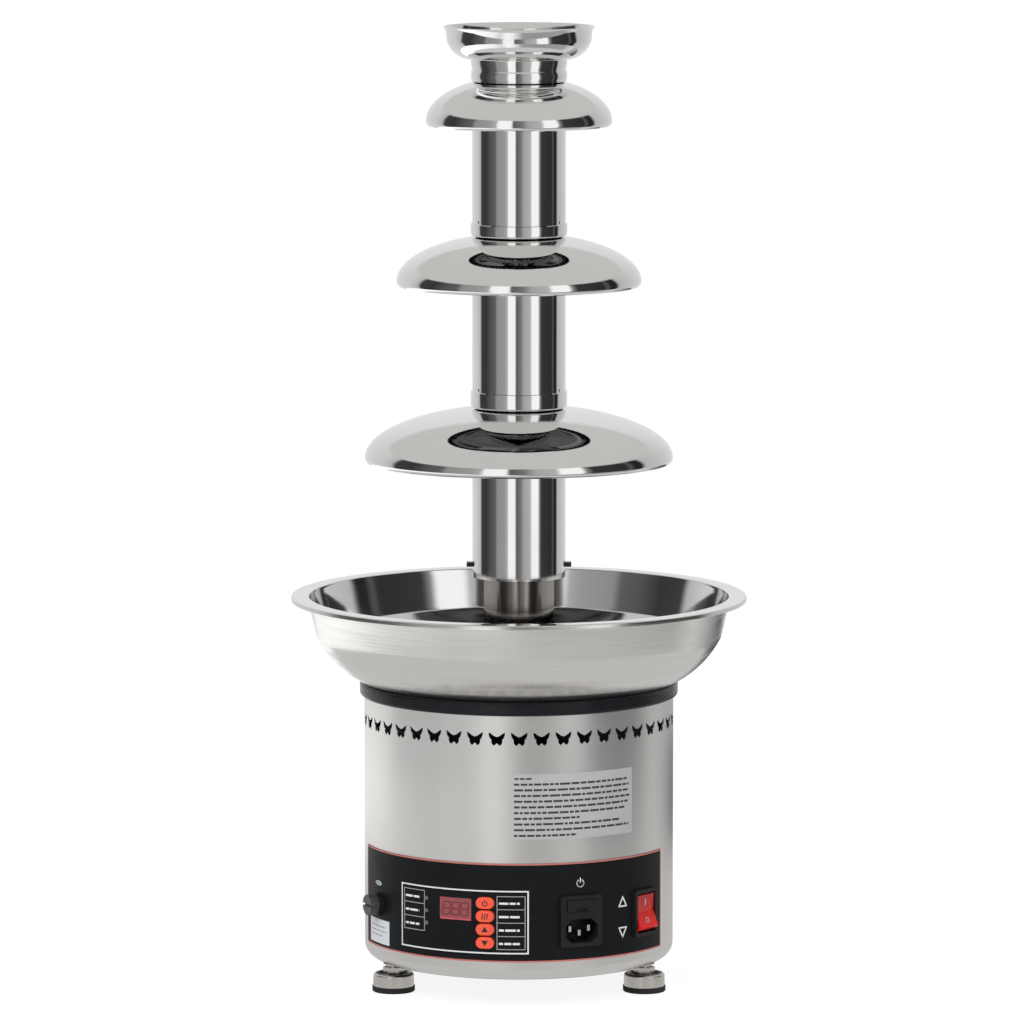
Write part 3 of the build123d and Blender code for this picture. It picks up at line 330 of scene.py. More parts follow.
def inner_side(recipe, place):
    """1 on a shell's inner side, which looks down or towards the Z axis, and 0 on its outer side."""
    facing = recipe.add("ShaderNodeNewGeometry").outputs["Normal"]
    x, y, z = recipe.split(place)
    level = recipe.vector("NORMALIZE", recipe.join(x, y, 0.0))
    outward = recipe.vector("DOT_PRODUCT", facing, level)
    upward = recipe.math("MULTIPLY", recipe.split(facing)[2], 0.5)
    return recipe.spread(recipe.math("ADD", outward, upward), -0.10, 0.0, 1.0, 0.0, True)


def mirror_steel(name="mirror steel", under=1.0):
    """Polished stainless steel: a near mirror with soft smudges and faint turning lines. Under tells how much of its
    brightness the inner side keeps, as painted shade under a hollow shell such as a dome."""
    tone = finishes()
    made, recipe, shader, place = material(name)
    marks = use(recipe, handling_marks(), Position=place, Scale=16.0)
    lines = use(recipe, turned_lines(), Position=place, Lines=520.0, Length=2.2)
    shader.inputs["Metallic"].default_value = 1.0
    polished = recipe.mix(marks["Smudge"], shade(tone.mirror_tint, 1.0), shade(tone.mirror_tint, 0.95))
    # Painted shade: the inner side is darkened to the under share of the steel's tint.
    if under < 1.0:
        polished = recipe.mix(inner_side(recipe, place), polished, shade(tone.mirror_tint, under))
    recipe.put(polished, shader.inputs["Base Color"])
    rough = recipe.math("ADD", tone.mirror_gloss, recipe.math("MULTIPLY", marks["Smudge"], 0.035))
    rough = recipe.math("ADD", rough, recipe.math("MULTIPLY", marks["Scratch"], 0.05))
    recipe.put(rough, shader.inputs["Roughness"])
    height = recipe.math("ADD", recipe.math("MULTIPLY", lines["Lines"], 0.5), recipe.math("MULTIPLY", marks["Smudge"], 0.5))
    recipe.put(recipe.bump(height, 0.05, 0.0002), shader.inputs["Normal"])
    return made


def satin_drum():
    """Satin stainless sheet of the drum: even, with a very fine horizontal grain, and its inner side painted almost
    black as painted shade inside the drum.
    """
    tone = finishes()
    made, recipe, shader, place = material("satin drum")
    lines = use(recipe, turned_lines(), Position=place, Lines=2600.0, Length=3.0)
    marks = use(recipe, handling_marks(), Position=place, Scale=11.0)
    shader.inputs["Metallic"].default_value = 1.0
    grain = recipe.spread(lines["Lines"], 0.3, 0.7, 0.0, 1.0)
    outside = recipe.mix(grain, shade(tone.satin_tint, 0.95), shade(tone.satin_tint, 1.02))
    # Painted shade: the drum's inner side, seen through the vents, is made almost black.
    painted_inside_shade = shade(tone.satin_tint, 0.05)
    recipe.put(recipe.mix(inner_side(recipe, place), outside, painted_inside_shade), shader.inputs["Base Color"])
    rough = recipe.math("ADD", tone.satin_gloss, recipe.math("MULTIPLY", marks["Smudge"], 0.04))
    recipe.put(recipe.math("ADD", rough, recipe.math("MULTIPLY", grain, 0.05)), shader.inputs["Roughness"])
    recipe.put(recipe.bump(lines["Lines"], 0.08, 0.0002), shader.inputs["Normal"])
    return made


def spun_bowl():
    """The bowl: polished inside, satin with spinning rings and faint swirls outside. The side is told
    by the surface's own direction: inside faces look up or towards the axis."""
    tone = finishes()
    made, recipe, shader, place = material("spun bowl")
    lines = use(recipe, turned_lines(), Position=place, Lines=1150.0, Length=2.0)
    marks = use(recipe, handling_marks(), Position=place, Scale=9.0)
    facing = recipe.add("ShaderNodeNewGeometry").outputs["Normal"]
    x, y, z = recipe.split(place)
    level = recipe.vector("NORMALIZE", recipe.join(x, y, 0.0))
    outward = recipe.vector("DOT_PRODUCT", facing, level)
    upward = recipe.split(facing)[2]
    outside = recipe.spread(recipe.math("SUBTRACT", outward, upward), -0.05, 0.05, 0.0, 1.0)
    shader.inputs["Metallic"].default_value = 1.0
    grain = recipe.spread(lines["Lines"], 0.3, 0.7, 0.0, 1.0)
    satin = recipe.mix(grain, shade(tone.satin_tint, 0.96), shade(tone.satin_tint, 1.04))
    recipe.put(recipe.mix(outside, shade(tone.mirror_tint, 0.98), satin), shader.inputs["Base Color"])
    swirl = recipe.spread(lines["Bands"], 0.35, 0.65, -0.05, 0.06)
    inside_rough = recipe.math("ADD", 0.07, recipe.math("MULTIPLY", marks["Smudge"], 0.06))
    outside_rough = recipe.math("ADD", 0.20, recipe.math("ADD", swirl, recipe.math("MULTIPLY", grain, 0.06)))
    rough = recipe.math("ADD", inside_rough, recipe.math("MULTIPLY", outside, recipe.math("SUBTRACT", outside_rough, inside_rough)))
    recipe.put(rough, shader.inputs["Roughness"])
    height = recipe.math("ADD", lines["Lines"], recipe.math("MULTIPLY", lines["Bands"], 1.5))
    recipe.put(recipe.bump(recipe.math("MULTIPLY", height, recipe.math("ADD", 0.15, outside)), 0.10, 0.0003), shader.inputs["Normal"])
    return made


def worked_metal(name, colour, roughness, lines_per_metre, grain=0.1):
    """A metal for inner and small parts, with tool marks round the axis and a few smudges."""
    made, recipe, shader, place = material(name)
    lines = use(recipe, turned_lines(), Position=place, Lines=lines_per_metre, Length=1.5)
    marks = use(recipe, handling_marks(), Position=place, Scale=30.0)
    shader.inputs["Metallic"].default_value = 1.0
    recipe.put(recipe.mix(lines["Lines"], shade(colour, 0.88), shade(colour, 1.06)), shader.inputs["Base Color"])
    rough = recipe.math("ADD", roughness, recipe.math("MULTIPLY", marks["Smudge"], 0.10))
    recipe.put(rough, shader.inputs["Roughness"])
    recipe.put(recipe.bump(lines["Lines"], grain, 0.0003), shader.inputs["Normal"])
    return made


def moulded(name, colour, roughness, texture=0.12, scale=900.0, coat=0.0, variation=0.12, sheen=0.5):
    """Plastic, rubber or paint: a fine moulded texture, uneven tone and gloss that follows it."""
    made, recipe, shader, place = material(name)
    fine = recipe.noise(place, scale, 3.0, 0.6)
    cloud = recipe.noise(place, 40.0, 3.0, 0.55)
    blend = recipe.spread(cloud, 0.35, 0.68, 0.0, 1.0, True)
    recipe.put(recipe.mix(blend, shade(colour, 1.0 - variation), shade(colour, 1.0 + variation)), shader.inputs["Base Color"])
    rough = recipe.spread(cloud, 0.3, 0.7, roughness * 0.9, min(1.0, roughness * 1.12))
    recipe.put(rough, shader.inputs["Roughness"])
    shader.inputs["Specular IOR Level"].default_value = sheen
    shader.inputs["Coat Weight"].default_value = coat
    shader.inputs["Coat Roughness"].default_value = 0.08
    recipe.put(recipe.bump(fine, texture, 0.0002), shader.inputs["Normal"])
    return made


def printed(name, colour, roughness=0.5):
    """Screen print or label stock: slightly uneven ink."""
    made, recipe, shader, place = material(name)
    cover = recipe.noise(place, 350.0, 2.0, 0.6)
    recipe.put(recipe.mix(cover, shade(colour, 0.90), shade(colour, 1.06)), shader.inputs["Base Color"])
    recipe.put(recipe.spread(cover, 0.3, 0.7, roughness * 0.92, roughness * 1.08), shader.inputs["Roughness"])
    return made


def label_foil():
    """Metallised label stock: half gloss, half print base, with a slow sheen."""
    tone = finishes()
    made, recipe, shader, place = material("label foil")
    cloud = recipe.noise(place, 60.0, 2.0, 0.5)
    recipe.put(recipe.mix(cloud, shade(tone.label_tint, 0.95), shade(tone.label_tint, 1.06)), shader.inputs["Base Color"])
    shader.inputs["Metallic"].default_value = 0.35
    recipe.put(recipe.spread(cloud, 0.3, 0.7, 0.36, 0.46), shader.inputs["Roughness"])
    return made


def rocker_plastic():
    """Clear red plastic of the rocker: glossy, with painted light and shade, brighter towards its foot and darker
    towards its top.
    """
    tone = finishes()
    made, recipe, shader, place = material("rocker plastic")
    height = recipe.split(place)[2]
    low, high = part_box("switch_rocker")
    # Painted light and shade: brightness runs from the rocker's foot, lightest, to its top, darkest.
    depth = recipe.spread(height, low.z, high.z, 1.0, 0.0, True)
    cloud = recipe.noise(place, 90.0, 2.0, 0.5)
    blend = recipe.math("MULTIPLY", depth, recipe.spread(cloud, 0.3, 0.7, 0.8, 1.0))
    recipe.put(recipe.mix(blend, shade(tone.rocker_tint, 0.62), shade(tone.rocker_tint, 1.25)), shader.inputs["Base Color"])
    recipe.put(recipe.spread(cloud, 0.3, 0.7, 0.16, 0.22), shader.inputs["Roughness"])
    shader.inputs["Subsurface Weight"].default_value = 0.15
    shader.inputs["Subsurface Radius"].default_value = (0.004, 0.0006, 0.0004)
    return made


# Surfaces


def link_piece(name, mesh, body, material_used, stands_for=()):
    """Put a mesh into the scene as a finished piece that rides on a body."""
    piece = bpy.data.objects.new(name, mesh)
    bpy.context.scene.collection.objects.link(piece)
    mesh.materials.clear()
    mesh.materials.append(material_used)
    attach(piece, body)
    if stands_for:
        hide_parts(*stands_for)
    return piece


def mesh_from(name, points, faces, smooth=True, crease=32.0):
    """A mesh from an array of points and an array or list of faces, creased where it turns sharply."""
    mesh = bpy.data.meshes.new(name)
    mesh.from_pydata(points.reshape(-1, 3).tolist(), [], [list(face) for face in faces])
    mesh.validate()
    mesh.update()
    if smooth:
        mesh.shade_smooth()
        mesh.set_sharp_from_angle(angle=radians(crease))
    return mesh


def ring_faces(rows, columns):
    """Quads of a grid that closes on itself both ways: row i, column j to its two neighbours."""
    row, column = np.meshgrid(np.arange(rows), np.arange(columns), indexing="ij")
    below = (row + 1) % rows
    beside = (column + 1) % columns
    quads = np.stack(
        [row * columns + column, row * columns + beside, below * columns + beside, below * columns + column],
        axis=-1,
    )
    return quads.reshape(-1, 4)


def turn_profile(profile, count):
    """Turn a closed profile about the Z axis: the point (r cos t, r sin t, z) for each profile point
    (r, z) and each turn t."""
    turn = np.linspace(0.0, 2 * pi, count, endpoint=False)
    radius = profile[:, 0][:, None]
    height = np.broadcast_to(profile[:, 1][:, None], (len(profile), count))
    return np.stack([radius * np.cos(turn), radius * np.sin(turn), height], axis=-1)


def turned_piece(name, profile, body, finish, stands_for, crease=32.0):
    """A closed turned shell from its profile, run so that its faces look outwards."""
    area = np.sum(profile[:, 0] * np.roll(profile[:, 1], -1) - np.roll(profile[:, 0], -1) * profile[:, 1])
    if area < 0:
        profile = profile[::-1]
    points = turn_profile(profile, sizes().segments)
    mesh = mesh_from(name, points, ring_faces(*points.shape[:2]), crease=crease)
    return link_piece(name, mesh, body, finish, stands_for)


def round_corner(corner, before, after, radius, steps=6):
    """Points of a small arc that rounds a profile's corner: a quadratic curve between the two points
    that lie the radius away from the corner on its sides."""
    start = corner + radius * (before - corner) / np.linalg.norm(before - corner)
    end = corner + radius * (after - corner) / np.linalg.norm(after - corner)
    t = np.linspace(0.0, 1.0, steps)[:, None]
    return (1 - t) ** 2 * start + 2 * t * (1 - t) * corner + t**2 * end


def softened(points, radius, steps=5):
    """A closed profile with every corner rounded by the same small radius."""
    points = np.asarray(points, float)
    rounded = [
        round_corner(corner, points[index - 1], points[(index + 1) % len(points)], radius, steps)
        for index, corner in enumerate(points)
    ]
    return np.concatenate(rounded)


def skin_of(node, finish, upright=True):
    """A merged copy of a CAD node's mesh with clean shading. Faces of upright round walls get the exact
    direction away from or towards the Z axis, so that the steel mirrors without facets."""
    mesh = nodes[node].data.copy()
    mesh.name = node + "_skin"
    work = bmesh.new()
    work.from_mesh(mesh)
    bmesh.ops.remove_doubles(work, verts=work.verts, dist=1e-6)
    work.to_mesh(mesh)
    work.free()
    mesh.shade_smooth()
    mesh.set_sharp_from_angle(angle=radians(28))
    if upright:
        steady_normals(mesh)
    body = next(name for name, members in frame["record"]["behaviour"]["bodies"].items() if node in members)
    return link_piece(node + "_skin", mesh, body, finish, (node,))


def steady_normals(mesh):
    """Exact directions on upright round walls: where a face looks within about 12 degrees of straight
    from the axis or to it, its corners take (x, y, 0) / r with that sign."""
    mesh.update()
    corners = len(mesh.loops)
    normals = np.zeros(corners * 3, np.float32)
    mesh.corner_normals.foreach_get("vector", normals)
    normals = normals.reshape(-1, 3)
    vertex_of = np.zeros(corners, np.int32)
    mesh.loops.foreach_get("vertex_index", vertex_of)
    points = np.zeros(len(mesh.vertices) * 3, np.float32)
    mesh.vertices.foreach_get("co", points)
    points = points.reshape(-1, 3)
    face_normals = np.zeros(len(mesh.polygons) * 3, np.float32)
    mesh.polygons.foreach_get("normal", face_normals)
    face_normals = face_normals.reshape(-1, 3)
    totals = np.zeros(len(mesh.polygons), np.int32)
    mesh.polygons.foreach_get("loop_total", totals)
    face_of = np.repeat(np.arange(len(mesh.polygons)), totals)
    centre_sum = np.zeros((len(mesh.polygons), 3), np.float64)
    np.add.at(centre_sum, face_of, points[vertex_of])
    centres = centre_sum / totals[:, None]
    away = centres[:, :2] / np.maximum(np.linalg.norm(centres[:, :2], axis=1), 1e-6)[:, None]
    facing = np.sum(away * face_normals[:, :2], axis=1)
    wall = np.abs(facing) > cos(radians(12))
    chosen = wall[face_of]
    spot = points[vertex_of][chosen]
    straight = np.zeros_like(spot)
    straight[:, :2] = spot[:, :2] / np.linalg.norm(spot[:, :2], axis=1)[:, None]
    normals[chosen] = straight * np.sign(facing)[face_of][chosen][:, None]
    mesh.normals_split_custom_set(normals.tolist())


# Printed pieces on the round panel


def wrapped(turns, heights, radius):
    """Points on the drum: turns are angles from the front, positive to the right."""
    return np.stack([radius * np.sin(turns), -radius * np.cos(turns), heights + 0.0 * turns], axis=-1)


def curved_bar(start, end, low, high, inner, outer):
    """A thin bar bent round the drum: the rectangle of its two radii and two heights is carried from
    one turn to the other, with a cap at each end. Returns its points and faces."""
    steps = max(2, int(np.ceil(abs(end - start) / radians(1.5))) + 1)
    turns = np.linspace(start, end, steps)
    loop = [(inner, low), (outer, low), (outer, high), (inner, high)]
    points = np.stack([wrapped(turns, np.full(steps, height), radius) for radius, height in loop], axis=1)
    index = np.arange(steps - 1)[:, None] * 4
    side = np.arange(4)[None, :]
    after = (side + 1) % 4
    quads = np.stack([index + side, index + 4 + side, index + 4 + after, index + after], axis=-1).reshape(-1, 4)
    caps = np.array([[0, 1, 2, 3], [4 * steps - 1, 4 * steps - 2, 4 * steps - 3, 4 * steps - 4]])
    return points.reshape(-1, 3), np.concatenate([quads, caps])


def flat_plate(outline, place, lift, sink):
    """A small plate with a convex outline: its points (x, y) are set on a place, which gives a centre
    and its directions right, up and out, with a top at the lift and an underside at the sink."""
    centre, right, up, out = place
    outline = np.asarray(outline, float)
    flat = centre + outline[:, :1] * right + outline[:, 1:] * up
    count = len(outline)
    points = np.concatenate([flat + lift * out, flat - sink * out])
    sides = [[i, i + count, (i + 1) % count + count, (i + 1) % count] for i in range(count)]
    return points, [list(range(count)), list(range(2 * count - 1, count - 1, -1))] + sides


def gathered(parts):
    """One array of points and one list of faces from several small parts."""
    points, faces, start = [], [], 0
    for part_points, part_faces in parts:
        points.append(np.asarray(part_points).reshape(-1, 3))
        faces += [[int(corner) + start for corner in face] for face in part_faces]
        start += len(points[-1])
    return np.concatenate(points), faces


def outward_mesh(name, parts):
    """A mesh of several closed parts whose faces all look outwards."""
    mesh = mesh_from(name, *gathered(parts), smooth=False)
    work = bmesh.new()
    work.from_mesh(mesh)
    bmesh.ops.recalc_face_normals(work, faces=work.faces)
    work.to_mesh(mesh)
    work.free()
    return mesh


def stroke(first, last, width):
    """The outline of a straight stroke between two points."""
    first, last = np.asarray(first, float), np.asarray(last, float)
    along = (last - first) / np.linalg.norm(last - first)
    across = np.array([-along[1], along[0]]) * width / 2
    reach = along * width / 2
    return [first - reach - across, last + reach - across, last + reach + across, first - reach + across]


def arc_strokes(centre, radius, start, end, width, steps=20):
    """Short strokes along an arc of a circle, from one angle to the other in degrees."""
    turns = np.radians(np.linspace(start, end, steps + 1))
    spots = np.stack([centre[0] + radius * np.cos(turns), centre[1] + radius * np.sin(turns)], axis=-1)
    return [stroke(spots[i], spots[i + 1], width) for i in range(steps)]


def place_on_drum(angle, height, radius):
    """A place on the drum at an angle in degrees and a height: centre, right, up and out."""
    turn = radians(angle)
    out = np.array([sin(turn), -cos(turn), 0.0])
    right = np.array([cos(turn), sin(turn), 0.0])
    return radius * out + np.array([0.0, 0.0, height]), right, np.array([0.0, 0.0, 1.0]), out


def panel_radius():
    """The radius of the panel's outer face, from the frame."""
    low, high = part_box("overlay_panel")
    return -low.y


def drum_radius():
    """The radius of the drum's outer face, from the frame."""
    low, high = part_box("drum_shell")
    return high.x


def bars_on(radius, lift, boxes):
    """Bent bars on a round wall: each box gives two turns and two heights."""
    return [curved_bar(start, end, low, high, radius - 0.03 * MM, radius + lift) for start, end, low, high in boxes]


def outline_boxes(start, end, low, high, width, radius):
    """The four bars of a rectangle's line, all inside it."""
    turn = width / radius
    return [
        (start, end, low, low + width),
        (start, end, high - width, high),
        (start, start + turn, low + width, high - width),
        (end - turn, end, low + width, high - width),
    ]


def dashes(start, end, height, tall, radius, seed, fill=1.0):
    """A row of dashes of uneven length, with gaps between them, as a ruled line of a form."""
    chance = np.random.default_rng(seed)
    boxes, spot = [], start
    limit = start + fill * (end - start)
    while spot < limit:
        run = chance.uniform(2.2, 7.5) * MM / radius
        boxes.append((spot, min(spot + run, limit), height - tall / 2, height + tall / 2))
        spot += run + 0.9 * MM / radius
    return boxes


# Operators: one for each group of pieces


STEEL_NODES = {
    "mirror": ["dome_1", "dome_2", "dome_3", "sleeve_1", "sleeve_2", "sleeve_3", "ring_1", "ring_2",
               "crown_neck", "crown_cup", "auger_tube"],
    "drum": ["drum_shell", "bottom_cover"],
    "bowl": ["bowl"],
    "turned": ["auger", "bowl_hub", "locating_pegs", "hub_nut", "drive_shaft", "motor_rotor", "screws",
               "foot_inserts"],
    # Parts inside the drum, made nearly black: painted shade inside the drum.
    "painted_inside_shade": ["deck_plate", "heater_clamp"],
    "nickel": ["inlet_pins"],
    "feet": ["foot_cap_1", "foot_cap_2", "foot_cap_3", "foot_stud_1", "foot_stud_2", "foot_stud_3"],
    "cast": ["gearbox_case", "gearbox_cover", "heater_ring"],
    "brass": ["idler_gear", "output_gear", "hub_bush"],
    "iron": ["motor_stator"],
}


def dress(names, finish):
    """Give CAD nodes their finish."""
    for name in names:
        slots = nodes[name].data.materials
        slots.clear()
        slots.append(finish)


class FOUNTAIN_OT_steel(Operator):
    """Give the tower, bowl, drum, feet and drive their metals"""

    bl_idname = "fountain.steel"
    bl_label = "Steel and other metals"

    def execute(self, context):
        dress(STEEL_NODES["mirror"], mirror_steel())
        dress(STEEL_NODES["drum"], satin_drum())
        dress(STEEL_NODES["bowl"], spun_bowl())
        dress(STEEL_NODES["turned"], worked_metal("turned steel", (0.62, 0.61, 0.60), 0.24, 1500.0))
        # Painted shade: the parts inside the drum get a nearly black metal.
        dress(STEEL_NODES["painted_inside_shade"], worked_metal("raw sheet", (0.035, 0.034, 0.033), 0.5, 700.0))
        dress(STEEL_NODES["nickel"], worked_metal("nickel plate", (0.62, 0.61, 0.58), 0.28, 900.0))
        dress(STEEL_NODES["feet"], worked_metal("foot steel", (0.66, 0.63, 0.60), 0.22, 900.0))
        dress(STEEL_NODES["cast"], worked_metal("cast alloy", (0.60, 0.61, 0.62), 0.42, 300.0, 0.3))
        dress(STEEL_NODES["brass"], worked_metal("gear brass", (0.72, 0.52, 0.22), 0.25, 1200.0))
        dress(STEEL_NODES["iron"], worked_metal("laminated iron", (0.20, 0.20, 0.21), 0.45, 2000.0, 0.4))
        return {"FINISHED"}


# The tower's turned shells, radius and level of each dome's edge and its rise, in millimetres
TIERS = {
    3: {"radius": 108.0, "rise": 36.2, "level": 373.5, "body": "tier_3"},
    2: {"radius": 85.7, "rise": 33.5, "level": 497.5, "body": "tier_2"},
    1: {"radius": 65.0, "rise": 31.6, "level": 609.5, "body": "tier_1"},
}
SHEET = 1.2
SKIRT = 3.0
CURL = 1.4
BORE = 25.15


def dome_profile(tier):
    """A dome's closed section in metres. Outside and inside are quarter ellipses
    (R sin t, level + h cos t) over a short skirt, a parabola that curls in by the curl."""
    size = TIERS[tier]

    def side(inset, steps):
        reach, rise = size["radius"] - inset, size["rise"] - inset
        start = np.arcsin(BORE / reach)
        t = np.linspace(start, pi / 2, steps)
        arc = np.stack([reach * np.sin(t), size["level"] + rise * np.cos(t)], axis=-1)
        drop = np.linspace(0.0, 1.0, 8)[1:]
        skirt = np.stack([reach - CURL * drop**2, size["level"] - SKIRT * drop], axis=-1)
        return np.concatenate([arc, skirt])

    return np.concatenate([side(0.0, 120), side(SHEET, 100)[::-1]]) * MM


def ring_profile(tier):
    """A ring's closed section in metres, its lower outer edge rounded."""
    low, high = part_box(f"ring_{tier}")
    foot, outer = low.z / MM, high.x / MM
    bore, spigot, top = 30.0, 31.7, high.z / MM
    shoulder = top - 7.0
    turn = np.linspace(0.0, pi / 2, 10)
    rounded = np.stack([outer - 2.4 + 2.4 * np.sin(turn), foot + 2.4 - 2.4 * np.cos(turn)], axis=-1)
    rest = [(outer, shoulder - 0.3), (outer - 0.3, shoulder), (spigot, shoulder), (spigot, top), (bore, top), (bore, foot)]
    return np.concatenate([rounded, rest]) * MM


def neck_profile():
    """The crown's neck in metres: two bands, each slightly barrel shaped, with the groove between them.
    A band's radius is R - b (2 s - 1)^2 for s from its foot to its top."""
    low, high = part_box("crown_neck")
    foot, top, outer = low.z / MM, high.z / MM, high.x / MM
    groove, half, depth, bulge = 645.8, 0.45, 0.6, 0.7
    s = np.linspace(0.0, 1.0, 14)
    lower = np.stack([outer - bulge * (2 * s - 1) ** 2, foot + s * (groove - half - foot)], axis=-1)
    upper = np.stack([outer - bulge * (1 - s) ** 2, groove + half + s * (top - groove - half)], axis=-1)
    slot = [(outer - bulge - depth, groove - half), (outer - bulge - depth, groove + half)]
    inner = [(outer - 2.0, top), (outer - 2.0, foot)]
    return np.concatenate([lower, slot, upper, inner]) * MM


def circle_arc(first, via, last, steps):
    """Points of the circle through three points, from the first to the last."""
    first, via, last = (np.asarray(point, float) for point in (first, via, last))
    left = 2 * np.array([via - first, last - first])
    right = np.array([via @ via - first @ first, last @ last - first @ first])
    centre = np.linalg.solve(left, right)
    radius = np.linalg.norm(first - centre)
    start, middle, end = (np.arctan2(*(point - centre)[::-1]) for point in (first, via, last))
    span = (end - start + pi) % (2 * pi) - pi
    if ((middle - start + pi) % (2 * pi) - pi) * span < 0:
        span -= np.sign(span) * 2 * pi
    t = start + span * np.linspace(0.0, 1.0, steps)
    return centre + radius * np.stack([np.cos(t), np.sin(t)], axis=-1)


def set_in(points, sheet):
    """A run of profile points moved to its left by the sheet, square to the run."""
    along = np.gradient(points, axis=0)
    along /= np.linalg.norm(along, axis=1)[:, None]
    return points + sheet * np.stack([-along[:, 1], along[:, 0]], axis=-1)


def cup_profile():
    """The crown's cup in metres: floor, a round turn, a shoulder, the wall and the lip."""
    low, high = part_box("crown_cup")
    lip, base = high.z / MM, low.z / MM
    outside = np.concatenate([
        np.array([(BORE, base), (30.0, base)]),
        circle_arc((36.5, base), (47.3, lip - 16.2), (50.5, lip - 9.5), 40),
        np.array([(51.2, lip - 3.0)]),
    ])
    inside = set_in(outside, SHEET)
    inside[0, 0] = BORE
    edge = [(52.7, lip - 0.5), (52.4, lip), (51.6, lip)]
    return np.concatenate([outside, edge, inside[::-1]]) * MM


def bowl_profile():
    """The bowl in metres: flat floor, two arcs, a leaning wall, and a flange with a hem."""
    low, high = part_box("bowl")
    rim, base = high.z / MM, low.z / MM
    waist, haunch, foot = (142.2, rim - 29.0), (127.5, rim - 48.2), (108.0, rim - 60.8)
    floor = (88.0, base)
    upper = circle_arc(foot, haunch, waist, 40)
    run, climb = foot[0] - floor[0], foot[1] - floor[1]
    radius = (run**2 + climb**2) / (2 * climb)
    t = np.linspace(0.0, np.arctan2(run, radius - climb), 24)
    lower = np.stack([floor[0] + radius * np.sin(t), base + radius * (1 - np.cos(t))], axis=-1)
    hole = 19.0
    wall_foot, wall_top = np.array(waist), np.array((149.0, rim))
    wall = wall_foot + np.linspace(0.0, 1.0, 12)[1:, None] * (wall_top - wall_foot)
    outside = np.concatenate([[(hole, base), (60.0, base)], lower, upper[1:], wall])
    inside = set_in(outside, SHEET)
    inside[0, 0] = hole
    inside = inside[inside[:, 1] < rim - 0.9]
    corner = np.linspace(0.0, pi / 2, 8)
    lip = np.stack([inside[-1, 0] + 0.25 + 0.9 * (1 - np.cos(corner)), rim - 0.9 + 0.9 * np.sin(corner)], axis=-1)
    edge = np.stack([160.0 - 1.0 + np.sin(corner), rim - 1.0 + np.cos(corner)], axis=-1)
    hem = [(160.0, rim - 3.0), (158.8, rim - 3.0), (158.8, rim - SHEET), (149.4, rim - SHEET)]
    outside = outside[outside[:, 1] < rim - SHEET]
    return np.concatenate([inside, lip, edge, hem, outside[::-1]]) * MM


class FOUNTAIN_OT_tower(Operator):
    """Turn the domes, rings, neck and cup as smooth shells, and give sleeves and tube clean skins"""

    bl_idname = "fountain.tower"
    bl_label = "Tower"

    def execute(self, context):
        steel = mirror_steel()
        # The domes' inner sides keep 0.16 of the steel's brightness: painted shade under each dome.
        domed = mirror_steel("dome steel", 0.16)
        for tier, size in TIERS.items():
            turned_piece(f"dome_{tier}_shell", dome_profile(tier), size["body"], domed, (f"dome_{tier}",))
            skin_of(f"sleeve_{tier}", steel)
            if tier < 3:
                turned_piece(f"ring_{tier}_shell", ring_profile(tier), size["body"], steel, (f"ring_{tier}",))
        turned_piece("neck_shell", neck_profile(), "crown", steel, ("crown_neck",))
        turned_piece("cup_shell", cup_profile(), "crown", steel, ("crown_cup",))
        skin_of("auger_tube", worked_metal("tube steel", (0.42, 0.40, 0.385), 0.07, 900.0, 0.02))
        self.spots()
        return {"FINISHED"}

    def spots(self):
        """Dark discs set into the small holes at the foot of the two upper sleeves: painted shade inside the holes."""
        # Painted shade: near-black discs sit a little below the sleeve's face, inside its holes.
        dark = printed("painted hole shade", (0.020, 0.019, 0.018), 0.4)
        turns = np.linspace(0.0, 2 * pi, 16, endpoint=False)
        disc = 1.0 * MM * np.stack([np.cos(turns), np.sin(turns)], axis=-1)
        for tier in (2, 1):
            low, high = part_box(f"sleeve_{tier}")
            parts = [
                flat_plate(disc, place_on_drum(turn, low.z + 1.65 * MM, high.x), -0.25 * MM, 0.45 * MM)
                for turn in (-60, 60, 180)
            ]
            name = f"painted_hole_shade_{tier}"
            link_piece(name, outward_mesh(name, parts), TIERS[tier]["body"], dark)


class FOUNTAIN_OT_basin(Operator):
    """Turn the bowl as a smooth shell, polished inside and satin outside, and give drum and collar clean skins"""

    bl_idname = "fountain.basin"
    bl_label = "Bowl, collar and drum"

    def execute(self, context):
        turned_piece("bowl_shell", bowl_profile(), "base", spun_bowl(), ("bowl",), crease=24.0)
        tone = finishes()
        gloss = moulded("collar gloss", tone.collar_tint, 0.22, 0.02, 600.0, coat=0.03, variation=0.08, sheen=0.15)
        skin_of("collar_ring", gloss)
        skin_of("drum_shell", satin_drum())
        return {"FINISHED"}


